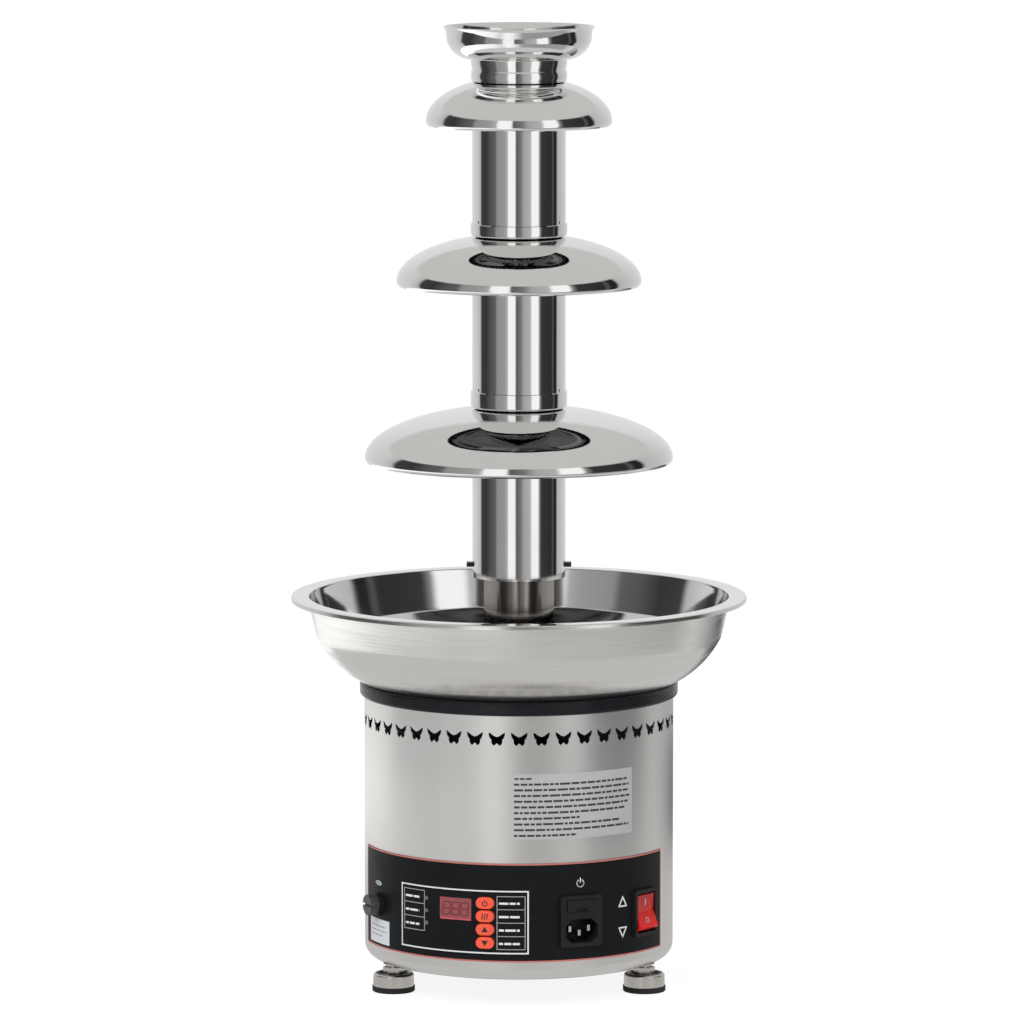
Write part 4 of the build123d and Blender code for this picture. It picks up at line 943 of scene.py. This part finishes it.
class FOUNTAIN_OT_mouldings(Operator):
    """Give the collar, panel, switches, inlet, board and feet their plastics and rubbers"""

    bl_idname = "fountain.mouldings"
    bl_label = "Plastics and rubbers"

    def execute(self, context):
        tone = finishes()
        dress(["collar_ring"], moulded("collar gloss", tone.collar_tint, 0.22, 0.02, 600.0, coat=0.03, variation=0.08, sheen=0.15))
        dress(["overlay_panel"], moulded("panel film", tone.overlay_tint, 0.42, 0.05, 1400.0, variation=0.06, sheen=0.12))
        black = moulded("black plastic", tone.plastic_tint, 0.38, 0.15, 1100.0, sheen=0.2)
        dress(["inlet_body", "fuse_drawer", "switch_body", "fuse_holder", "heat_sensors"], black)
        dress(["fuse_cap"], moulded("fuse cap plastic", tone.cap_tint, 0.36, 0.12, 1200.0, variation=0.2))
        rubber = moulded("pad rubber", tone.rubber_tint, 0.72, 0.3, 700.0, variation=0.25)
        dress(["foot_pad_1", "foot_pad_2", "foot_pad_3", "shaft_seal"], rubber)
        dress(["wiring"], moulded("lead sheath", (0.03, 0.03, 0.033), 0.5, 0.1, 900.0))
        dress(["motor_can"], moulded("motor paint", (0.05, 0.05, 0.055), 0.35, 0.1, 500.0, coat=0.2))
        dress(["control_board"], moulded("board lacquer", (0.02, 0.13, 0.05), 0.35, 0.1, 600.0, coat=0.3))
        button = moulded("button rubber", tone.button_tint, 0.30, 0.06, 900.0, coat=0.35, variation=0.06)
        dress([f"button_{number}" for number in range(1, 5)], button)
        dress(["switch_rocker"], rocker_plastic())
        dress(["display_module"], moulded("display window", tone.display_tint, 0.22, 0.02, 500.0, coat=0.5, variation=0.05))
        dress(["status_lights"], moulded("light pipes", tone.light_tint, 0.25, 0.03, 500.0, coat=0.4, variation=0.1))
        return {"FINISHED"}


class FOUNTAIN_OT_panel_print(Operator):
    """Print the panel: its border, the controller frame, the caption boxes and the generic marks"""

    bl_idname = "fountain.panel_print"
    bl_label = "Panel print"

    def execute(self, context):
        size = sizes()
        radius = panel_radius()
        low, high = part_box("overlay_panel")
        left, right = radians(-76.0), radians(65.0)
        border = outline_boxes(left, right, low.z, high.z, size.border_width, radius)
        border_mesh = outward_mesh("panel_border", bars_on(radius, size.print_lift, border))
        link_piece("panel_border", border_mesh, "base", printed("border print", finishes().border_tint))

        white = printed("white print", finishes().print_tint, 0.45)
        parts = bars_on(radius, size.print_lift, outline_boxes(
            size.frame_start, size.frame_end, size.frame_low, size.frame_high, size.frame_line, radius))
        link_piece("controller_frame", outward_mesh("controller_frame", parts), "base", white)
        self.captions(white, radius)
        self.marks(white, radius)
        return {"FINISHED"}

    def captions(self, white, radius):
        """Two columns of caption boxes, with plain dashes where a caption would be."""
        size = sizes()
        grey = printed("grey print", shade(finishes().print_tint, 0.45), 0.45)
        columns = {
            "right": (radians(-8.2), radians(2.3), 42.5, 80.2, 4, 0.86),
            "left": (radians(-46.9), radians(-36.8), 52.0, 80.8, 3, 0.80),
        }
        for side, (start, end, low, high, rows, fill) in columns.items():
            pitch = (high - low) / rows * MM
            boxes, lines = [], []
            boxes += outline_boxes(start, end, low * MM, high * MM, size.box_line, radius)
            for row in range(1, rows):
                level = low * MM + row * pitch
                boxes.append((start, end, level - size.box_line / 2, level + size.box_line / 2))
            for row in range(rows):
                level = low * MM + (row + 0.45) * pitch
                inset = 1.6 * MM / radius
                lines += dashes(start + inset, end - inset, level, 1.5 * MM, radius, 11 + row, fill)
            box_mesh = outward_mesh(f"caption_boxes_{side}", bars_on(radius, size.print_lift, boxes))
            link_piece(f"caption_boxes_{side}", box_mesh, "base", grey)
            line_mesh = outward_mesh(f"caption_dashes_{side}", bars_on(radius, size.print_lift, lines))
            link_piece(f"caption_dashes_{side}", line_mesh, "base", white)

    def marks(self, white, radius):
        """Two arrowheads beside the rocker, a plain power sign over the inlet and a plain fuse sign."""
        size = sizes()
        parts = []
        for height, way in ((71.5, 1), (50.6, -1)):
            place = place_on_drum(41.2, height * MM, radius)
            corners = np.array([(-3.4, -2.9), (3.4, -2.9), (0.0, 3.6)]) * MM * (1, way)
            for index in range(3):
                outline = stroke(corners[index], corners[(index + 1) % 3], 1.0 * MM)
                parts.append(flat_plate(outline, place, size.print_lift, 0.1 * MM))
        place = place_on_drum(22.8, 88.0 * MM, radius)
        for outline in arc_strokes((0.0, 0.0), 2.6 * MM, 125.0, 415.0, 0.7 * MM, 22):
            parts.append(flat_plate(outline, place, size.print_lift, 0.1 * MM))
        parts.append(flat_plate(stroke((0, 0.8 * MM), (0, 3.6 * MM), 0.7 * MM), place, size.print_lift, 0.1 * MM))
        place = place_on_drum(-63.8, 79.0 * MM, radius)
        for first, last in (((-3, -1.2), (3, -1.2)), ((-3, 1.2), (3, 1.2)), ((-3, -1.2), (-3, 1.2)),
                            ((3, -1.2), (3, 1.2)), ((-4.6, 0), (4.6, 0))):
            outline = stroke(np.array(first) * MM, np.array(last) * MM, 0.6 * MM)
            parts.append(flat_plate(outline, place, size.print_lift, 0.15 * MM))
        link_piece("panel_marks", outward_mesh("panel_marks", parts), "base", white)


class FOUNTAIN_OT_button_symbols(Operator):
    """Put a plain symbol on each push button: power, heat, up and down"""

    bl_idname = "fountain.button_symbols"
    bl_label = "Button symbols"

    def execute(self, context):
        ink = printed("button ink", (0.02, 0.012, 0.012))
        for number in range(1, 5):
            place = self.face_of(number)
            parts = [flat_plate(outline, place, 0.06 * MM, 0.05 * MM) for outline in self.symbol(number)]
            name = f"button_symbol_{number}"
            link_piece(name, outward_mesh(name, parts), f"button_{number}", ink)
        return {"FINISHED"}

    def face_of(self, number):
        """The place at the middle of a button's face, from its box."""
        low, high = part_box(f"button_{number}")
        angle = -12.4
        centre, right, up, out = place_on_drum(angle, (low.z + high.z) / 2, 0.0)
        points = np.array([vertex.co for vertex in nodes[f"button_{number}"].data.vertices])
        return centre + out * (points @ out).max(), right, up, out

    def symbol(self, number):
        """Convex outlines of each symbol, in metres about the button's middle."""
        if number == 1:
            ring = arc_strokes((0, -0.2 * MM), 1.7 * MM, 125, 415, 0.6 * MM, 16)
            return ring + [stroke((0, 0.2 * MM), (0, 2.2 * MM), 0.6 * MM)]
        if number == 2:
            waves = []
            for offset in (-1.7, 0.0, 1.7):
                heights = np.linspace(-1.9, 1.9, 9)
                spots = np.stack([offset + 0.45 * np.sin(heights * pi / 1.9), heights], axis=-1) * MM
                waves += [stroke(spots[i], spots[i + 1], 0.55 * MM) for i in range(8)]
            return waves
        way = 1 if number == 3 else -1
        return [np.array([(-2.3, -1.6), (2.3, -1.6), (0.0, 2.1)]) * MM * (1, way)]


class FOUNTAIN_OT_display_digits(Operator):
    """Put three unlit seven-stroke digits behind the display's window"""

    bl_idname = "fountain.display_digits"
    bl_label = "Display digits"

    def execute(self, context):
        low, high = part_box("display_module")
        points = np.array([vertex.co for vertex in nodes["display_module"].data.vertices])
        centre, right, up, out = place_on_drum(-23.9, 69.9 * MM, 0.0)
        place = (centre + out * (points @ out).max(), right, up, out)
        wide, tall, lean = 2.2 * MM, 4.4 * MM, 0.10
        strokes = []
        for middle in (-6.8 * MM, 0.0, 6.8 * MM):
            for level in (-tall, 0.0, tall):
                strokes.append(((middle - wide + lean * level, level), (middle + wide + lean * level, level)))
            for side in (-wide, wide):
                for foot in (-tall, 0.0):
                    gap = 0.7 * MM
                    strokes.append((
                        (middle + side * 1.25 + lean * (foot + gap), foot + gap),
                        (middle + side * 1.25 + lean * (foot + tall - gap), foot + tall - gap),
                    ))
        parts = [flat_plate(stroke(first, last, 0.85 * MM), place, 0.03 * MM, 0.05 * MM) for first, last in strokes]
        digits = printed("unlit digits", finishes().digit_tint, 0.3)
        link_piece("display_digits", outward_mesh("display_digits", parts), "base", digits)
        # A lighter strip along the window's foot: a painted highlight on the window's edge.
        rim = []
        half_wide, half_tall = 12.0 * MM, 7.85 * MM
        rim.append(stroke((-half_wide + MM, -half_tall + 0.6 * MM), (half_wide - MM, -half_tall + 0.6 * MM), 0.9 * MM))
        edge = printed("painted window highlight", shade(finishes().display_tint, 2.3), 0.25)
        highlight_parts = [flat_plate(outline, place, 0.04 * MM, 0.05 * MM) for outline in rim]
        link_piece("painted_display_highlight", outward_mesh("painted_display_highlight", highlight_parts), "base", edge)
        return {"FINISHED"}


class FOUNTAIN_OT_rocker_marks(Operator):
    """Put the plain I and O on the rocker's two faces"""

    bl_idname = "fountain.rocker_marks"
    bl_label = "Rocker marks"

    def execute(self, context):
        centre, right, up, out = place_on_drum(52.8, 61.5 * MM, panel_radius() - 4.0 * MM)
        marks = {1: [stroke((0, -1.8 * MM), (0, 1.8 * MM), 0.7 * MM)],
                 -1: arc_strokes((0.0, 0.0), 1.7 * MM, 0.0, 360.0, 0.6 * MM, 24)}
        parts = []
        for way, outlines in marks.items():
            place = self.on_face(centre, right, up, out, way)
            parts += [flat_plate(outline, place, 0.10 * MM, 0.25 * MM) for outline in outlines]
        white = printed("rocker print", shade(finishes().print_tint, 0.75), 0.4)
        link_piece("rocker_marks", outward_mesh("rocker_marks", parts), "rocker", white)
        return {"FINISHED"}

    def on_face(self, centre, right, up, out, way):
        """The place in the middle of the rocker's upper or lower face. The faces run from a shallow
        valley at the pivot's height to the rocker's ends, and the whole rocker leans back by its tilt."""
        tilt, front, valley = radians(9.0), 7.4 * MM, 4.8 * MM
        reach = sqrt(13.6**2 - 7.4**2) * MM
        rocker_out = cos(tilt) * out + sin(tilt) * up
        rocker_up = cos(tilt) * up - sin(tilt) * out
        along = way * reach * rocker_up + (front - valley) * rocker_out
        middle = centre + valley * rocker_out + 0.55 * along
        slope = along / np.linalg.norm(along) * way
        return middle, right, slope, np.cross(right, slope)


class FOUNTAIN_OT_labels(Operator):
    """Stick the silver label and the small white sticker on, with plain ruled dashes"""

    bl_idname = "fountain.labels"
    bl_label = "Labels"

    def execute(self, context):
        size = sizes()
        ink = printed("label ink", finishes().ink_tint)
        wall = drum_radius()
        stock = [(size.label_start, size.label_end, size.label_low, size.label_high)]
        link_piece("silver_label", outward_mesh("silver_label", bars_on(wall, 0.12 * MM, stock)),
                   "base", label_foil())
        rows = 11
        pitch = (size.label_high - size.label_low - 2.0 * MM) / rows
        fills = (0.96, 0.98, 0.97, 0.99, 0.97, 0.94, 0.52, 0.88, 0.98, 0.50)
        lines = dashes(size.label_start + radians(1.0), size.label_end, size.label_high - 3.2 * MM, 1.3 * MM, wall, 3, 0.13)
        for row, fill in enumerate(fills):
            level = size.label_high - 3.2 * MM - (row + 1) * pitch
            start = size.label_start + radians(0.8)
            lines += dashes(start, size.label_end - radians(0.8), level, 1.5 * MM, wall, 20 + row, fill)
        line_mesh = outward_mesh("silver_label_lines", bars_on(wall + 0.12 * MM, 0.03 * MM, lines))
        link_piece("silver_label_lines", line_mesh, "base", ink)

        face = panel_radius()
        paper = [(size.sticker_start, size.sticker_end, size.sticker_low, size.sticker_high)]
        link_piece("white_sticker", outward_mesh("white_sticker", bars_on(face, 0.12 * MM, paper)),
                   "base", printed("sticker paper", finishes().sticker_tint, 0.55))
        notes = []
        middle = (size.sticker_low + size.sticker_high) / 2
        for row, fill in enumerate((0.9, 0.95, 0.75)):
            level = middle + (1.1 - row) * 3.2 * MM
            start = size.sticker_start + radians(1.6)
            notes += dashes(start, size.sticker_end - radians(1.4), level, 0.9 * MM, face, 50 + row, fill)
        note_mesh = outward_mesh("white_sticker_lines", bars_on(face + 0.12 * MM, 0.03 * MM, notes))
        pale_ink = printed("pale ink", (0.30, 0.31, 0.33))
        link_piece("white_sticker_lines", note_mesh, "base", pale_ink)
        return {"FINISHED"}


# The room that the steel mirrors, by direction: angle to the right of the camera's side in degrees,
# brightness, warmth. Pale walls, two bright windows behind the camera and dark gaps beside them.
ROOM = (
    (-180.0, 0.80, 0.0), (-125.0, 0.66, 0.1), (-111.0, 0.52, 0.3), (-106.0, 0.05, 0.0), (-88.0, 0.04, 0.0),
    (-72.0, 0.10, 0.0), (-61.0, 0.12, 0.2), (-56.0, 0.30, 0.2), (-36.0, 0.36, 0.2), (-29.0, 0.46, 0.2),
    (-26.0, 1.05, 0.0), (-10.0, 1.05, 0.0), (-7.0, 0.12, 0.4), (4.0, 0.20, 0.4), (12.0, 0.42, 0.3),
    (28.0, 0.50, 0.2), (32.0, 1.05, 0.0), (48.0, 1.05, 0.0), (52.0, 0.25, 0.3), (57.0, 0.04, 0.3),
    (88.0, 0.03, 0.2), (92.0, 0.10, 0.0), (97.0, 0.02, 0.0), (105.0, 0.02, 0.0), (110.0, 0.52, 0.1),
    (130.0, 0.60, 0.1), (180.0, 0.80, 0.0),
)

# The tone of the floor that the satin drum mirrors: bright on the left, darker on the right
FLOOR_BANDS = (
    (-180.0, 0.60, 0.1), (-165.0, 1.10, 0.1), (-120.0, 1.25, 0.1), (-70.0, 1.15, 0.1), (-46.0, 1.05, 0.1),
    (-33.0, 0.80, 0.1), (-20.0, 1.15, 0.1), (-10.0, 1.00, 0.1), (6.0, 0.38, 0.2), (30.0, 0.34, 0.3),
    (88.0, 0.38, 0.3), (108.0, 0.72, 0.2), (122.0, 0.50, 0.2), (146.0, 0.10, 0.2), (170.0, 0.10, 0.2),
    (180.0, 0.35, 0.1),
)


class FOUNTAIN_OT_stage(Operator):
    """Set the floor, the room that the steel mirrors, the lamps and the camera"""

    bl_idname = "fountain.stage"
    bl_label = "Stage, lamps and camera"

    def execute(self, context):
        scene = context.scene
        scene.view_settings.view_transform = "Standard"
        self.floor()
        self.room(scene)
        self.lamps()
        self.camera(scene)
        return {"FINISHED"}

    def floor(self):
        """A plain pale floor: white for the camera except for a soft shadow. The steel mirrors it in a
        plain tone near the fountain and in soft bands further out, and the high tower looks past it."""
        radius = 2.0
        turn = np.linspace(0.0, 2 * pi, 96, endpoint=False)
        rim = np.stack([radius * np.cos(turn), radius * np.sin(turn), 0.0 * turn], axis=-1)
        mesh = mesh_from("floor", rim, [list(range(96))], smooth=False)
        ground = bpy.data.objects.new("floor", mesh)
        bpy.context.scene.collection.objects.link(ground)
        made = bpy.data.materials.new("pale floor")
        made.use_nodes = True
        recipe = Recipe(made.node_tree)
        shader = made.node_tree.nodes["Principled BSDF"]
        shader.inputs["Base Color"].default_value = (0.92, 0.92, 0.92, 1.0)
        shader.inputs["Roughness"].default_value = 0.9
        shader.inputs["Specular IOR Level"].default_value = 0.0
        glow = recipe.add("ShaderNodeEmission")
        glow.inputs["Color"].default_value = (1.0, 1.0, 1.0, 1.0)
        glow.inputs["Strength"].default_value = 1.12
        rays = recipe.add("ShaderNodeLightPath")
        blend = recipe.add("ShaderNodeMixShader")
        recipe.put(recipe.math("MULTIPLY", rays.outputs["Is Camera Ray"], 0.80), blend.inputs[0])
        recipe.put(shader.outputs[0], blend.inputs[1])
        recipe.put(glow.outputs[0], blend.inputs[2])
        place = recipe.add("ShaderNodeTexCoord").outputs["Object"]
        x, y, z = recipe.split(place)
        around = self.bands(recipe, recipe.math("ARCTAN2", x, recipe.math("MULTIPLY", y, -1.0)), FLOOR_BANDS)
        far = recipe.spread(recipe.vector("LENGTH", place), 0.58, 0.68, 0.0, 1.0, True)
        tone = studio().near_floor
        mirrored = recipe.add("ShaderNodeEmission")
        recipe.put(recipe.mix(far, (tone, tone * 0.99, tone * 0.98, 1.0), around), mirrored.inputs["Color"])
        fade = recipe.add("ShaderNodeMixShader")
        recipe.put(rays.outputs["Is Glossy Ray"], fade.inputs[0])
        recipe.put(blend.outputs[0], fade.inputs[1])
        recipe.put(mirrored.outputs[0], fade.inputs[2])
        long_ray = recipe.math("GREATER_THAN", rays.outputs["Ray Length"], 1.3)
        clear = recipe.add("ShaderNodeMixShader")
        recipe.put(recipe.math("MULTIPLY", rays.outputs["Is Glossy Ray"], long_ray), clear.inputs[0])
        recipe.put(fade.outputs[0], clear.inputs[1])
        recipe.put(recipe.add("ShaderNodeBsdfTransparent").outputs[0], clear.inputs[2])
        recipe.put(clear.outputs[0], made.node_tree.nodes["Material Output"].inputs["Surface"])
        mesh.materials.append(made)

    def bands(self, recipe, turn, table):
        """A colour for each direction round the axis, run in steps through a table of angle, tone and
        warmth."""
        ramp = recipe.add("ShaderNodeValToRGB")
        recipe.put(recipe.math("ADD", recipe.math("DIVIDE", turn, 2 * pi), 0.5), ramp.inputs[0])
        stops = ramp.color_ramp.elements
        ends = {0: 0, len(table) - 1: -1}
        for index, (angle, tone, warmth) in enumerate(table):
            colour = (tone, tone * (1.0 - 0.06 * warmth), tone * (1.0 - 0.12 * warmth), 1.0)
            stop = stops[ends[index]] if index in ends else stops.new(angle / 360.0 + 0.5)
            stop.color = colour
        return ramp.outputs["Color"]

    def room(self, scene):
        """White for the camera and through clear things; a pale room with windows for the steel; even
        soft light for everything else."""
        state = studio()
        world = bpy.data.worlds.new("studio")
        scene.world = world
        world.use_nodes = True
        tree = world.node_tree
        tree.nodes.clear()
        recipe = Recipe(tree)
        direction = recipe.add("ShaderNodeTexCoord").outputs["Generated"]
        x, y, z = recipe.split(direction)
        turn = recipe.math("ARCTAN2", x, recipe.math("MULTIPLY", y, -1.0))
        around = self.bands(recipe, turn, ROOM)
        top = recipe.spread(z, 0.42, 0.50, 0.0, 1.0, True)
        ceiling = (state.ceiling, state.ceiling * 0.985, state.ceiling * 0.965, 1.0)
        low = recipe.spread(z, -0.62, -0.50, 1.0, 0.0, True)
        floor_tone = (state.floor_tone, state.floor_tone * 0.985, state.floor_tone * 0.965, 1.0)
        walls = recipe.mix(low, recipe.mix(top, around, ceiling), floor_tone)
        rays = recipe.add("ShaderNodeLightPath")
        lights = {
            "even": ((0.98, 0.99, 1.0, 1.0), state.daylight),
            "room": (walls, 1.0),
            "white": ((1.0, 1.0, 1.0, 1.0), 1.0),
        }
        made = {}
        for name, (colour, strength) in lights.items():
            background = recipe.add("ShaderNodeBackground")
            recipe.put(colour, background.inputs["Color"])
            background.inputs["Strength"].default_value = strength
            made[name] = background.outputs[0]
        glossy = recipe.add("ShaderNodeMixShader")
        recipe.put(rays.outputs["Is Glossy Ray"], glossy.inputs[0])
        recipe.put(made["even"], glossy.inputs[1])
        recipe.put(made["room"], glossy.inputs[2])
        clear = recipe.math("MAXIMUM", rays.outputs["Is Camera Ray"], rays.outputs["Is Transmission Ray"])
        last = recipe.add("ShaderNodeMixShader")
        recipe.put(clear, last.inputs[0])
        recipe.put(glossy.outputs[0], last.inputs[1])
        recipe.put(made["white"], last.inputs[2])
        output = recipe.add("ShaderNodeOutputWorld")
        recipe.put(last.outputs[0], output.inputs["Surface"])

    def lamps(self):
        """Two large soft lamps, which the steel doesn't show as such."""
        state = studio()
        for name, place, aim, size, power in (
            ("key lamp", (-1.4, -2.0, 1.9), (0.0, 0.0, 0.25), 1.4, state.key_power),
            ("fill lamp", (1.8, -1.4, 1.1), (0.0, 0.0, 0.25), 1.6, state.fill_power),
        ):
            data = bpy.data.lights.new(name, "AREA")
            data.shape = "SQUARE"
            data.size = size
            data.energy = power
            lamp = bpy.data.objects.new(name, data)
            lamp.visible_glossy = False
            bpy.context.scene.collection.objects.link(lamp)
            self.point_at(lamp, place, aim)

    def point_at(self, obj, place, aim):
        """Set an object at a place, its -Z side towards the aim."""
        from mathutils import Vector

        obj.location = place
        way = Vector(aim) - Vector(place)
        obj.rotation_euler = way.to_track_quat("-Z", "Y").to_euler()

    def camera(self, scene):
        """The camera stands square to the front, a little above, and looks down at the middle."""
        state = studio()
        data = bpy.data.cameras.new("camera")
        data.lens = state.lens
        data.sensor_width = 36.0
        data.clip_end = 50.0
        eye = bpy.data.objects.new("camera", data)
        scene.collection.objects.link(eye)
        self.point_at(eye, (-state.eye_offset, -state.eye_distance, state.eye_height),
                      (-state.eye_offset, 0.0, state.aim_height))
        scene.camera = eye


ORDER = (
    FOUNTAIN_OT_steel,
    FOUNTAIN_OT_tower,
    FOUNTAIN_OT_basin,
    FOUNTAIN_OT_mouldings,
    FOUNTAIN_OT_panel_print,
    FOUNTAIN_OT_button_symbols,
    FOUNTAIN_OT_display_digits,
    FOUNTAIN_OT_rocker_marks,
    FOUNTAIN_OT_labels,
    FOUNTAIN_OT_stage,
)


class FOUNTAIN_PT_sidebar(Panel):
    """The fountain's own panel in the sidebar"""

    bl_idname = "FOUNTAIN_PT_sidebar"
    bl_label = "Chocolate fountain"
    bl_space_type = "VIEW_3D"
    bl_region_type = "UI"
    bl_category = "Fountain"

    def draw(self, context):
        for operator in ORDER:
            self.layout.operator(operator.bl_idname)
        for group in (finishes(), sizes(), studio()):
            box = self.layout.box()
            for name in group.__annotations__:
                box.prop(group, name)


CLASSES = (FountainFinishes, FountainSizes, FountainStudio) + ORDER + (FOUNTAIN_PT_sidebar,)


def register():
    for item in CLASSES:
        bpy.utils.register_class(item)
    bpy.types.Scene.fountain_finishes = PointerProperty(type=FountainFinishes)
    bpy.types.Scene.fountain_sizes = PointerProperty(type=FountainSizes)
    bpy.types.Scene.fountain_studio = PointerProperty(type=FountainStudio)


def unregister():
    del bpy.types.Scene.fountain_studio
    del bpy.types.Scene.fountain_sizes
    del bpy.types.Scene.fountain_finishes
    for item in reversed(CLASSES):
        bpy.utils.unregister_class(item)


def main():
    register()
    for operator in ORDER:
        group, name = operator.bl_idname.split(".")
        getattr(getattr(bpy.ops, group), name)()


if __name__ == "__main__":
    main()
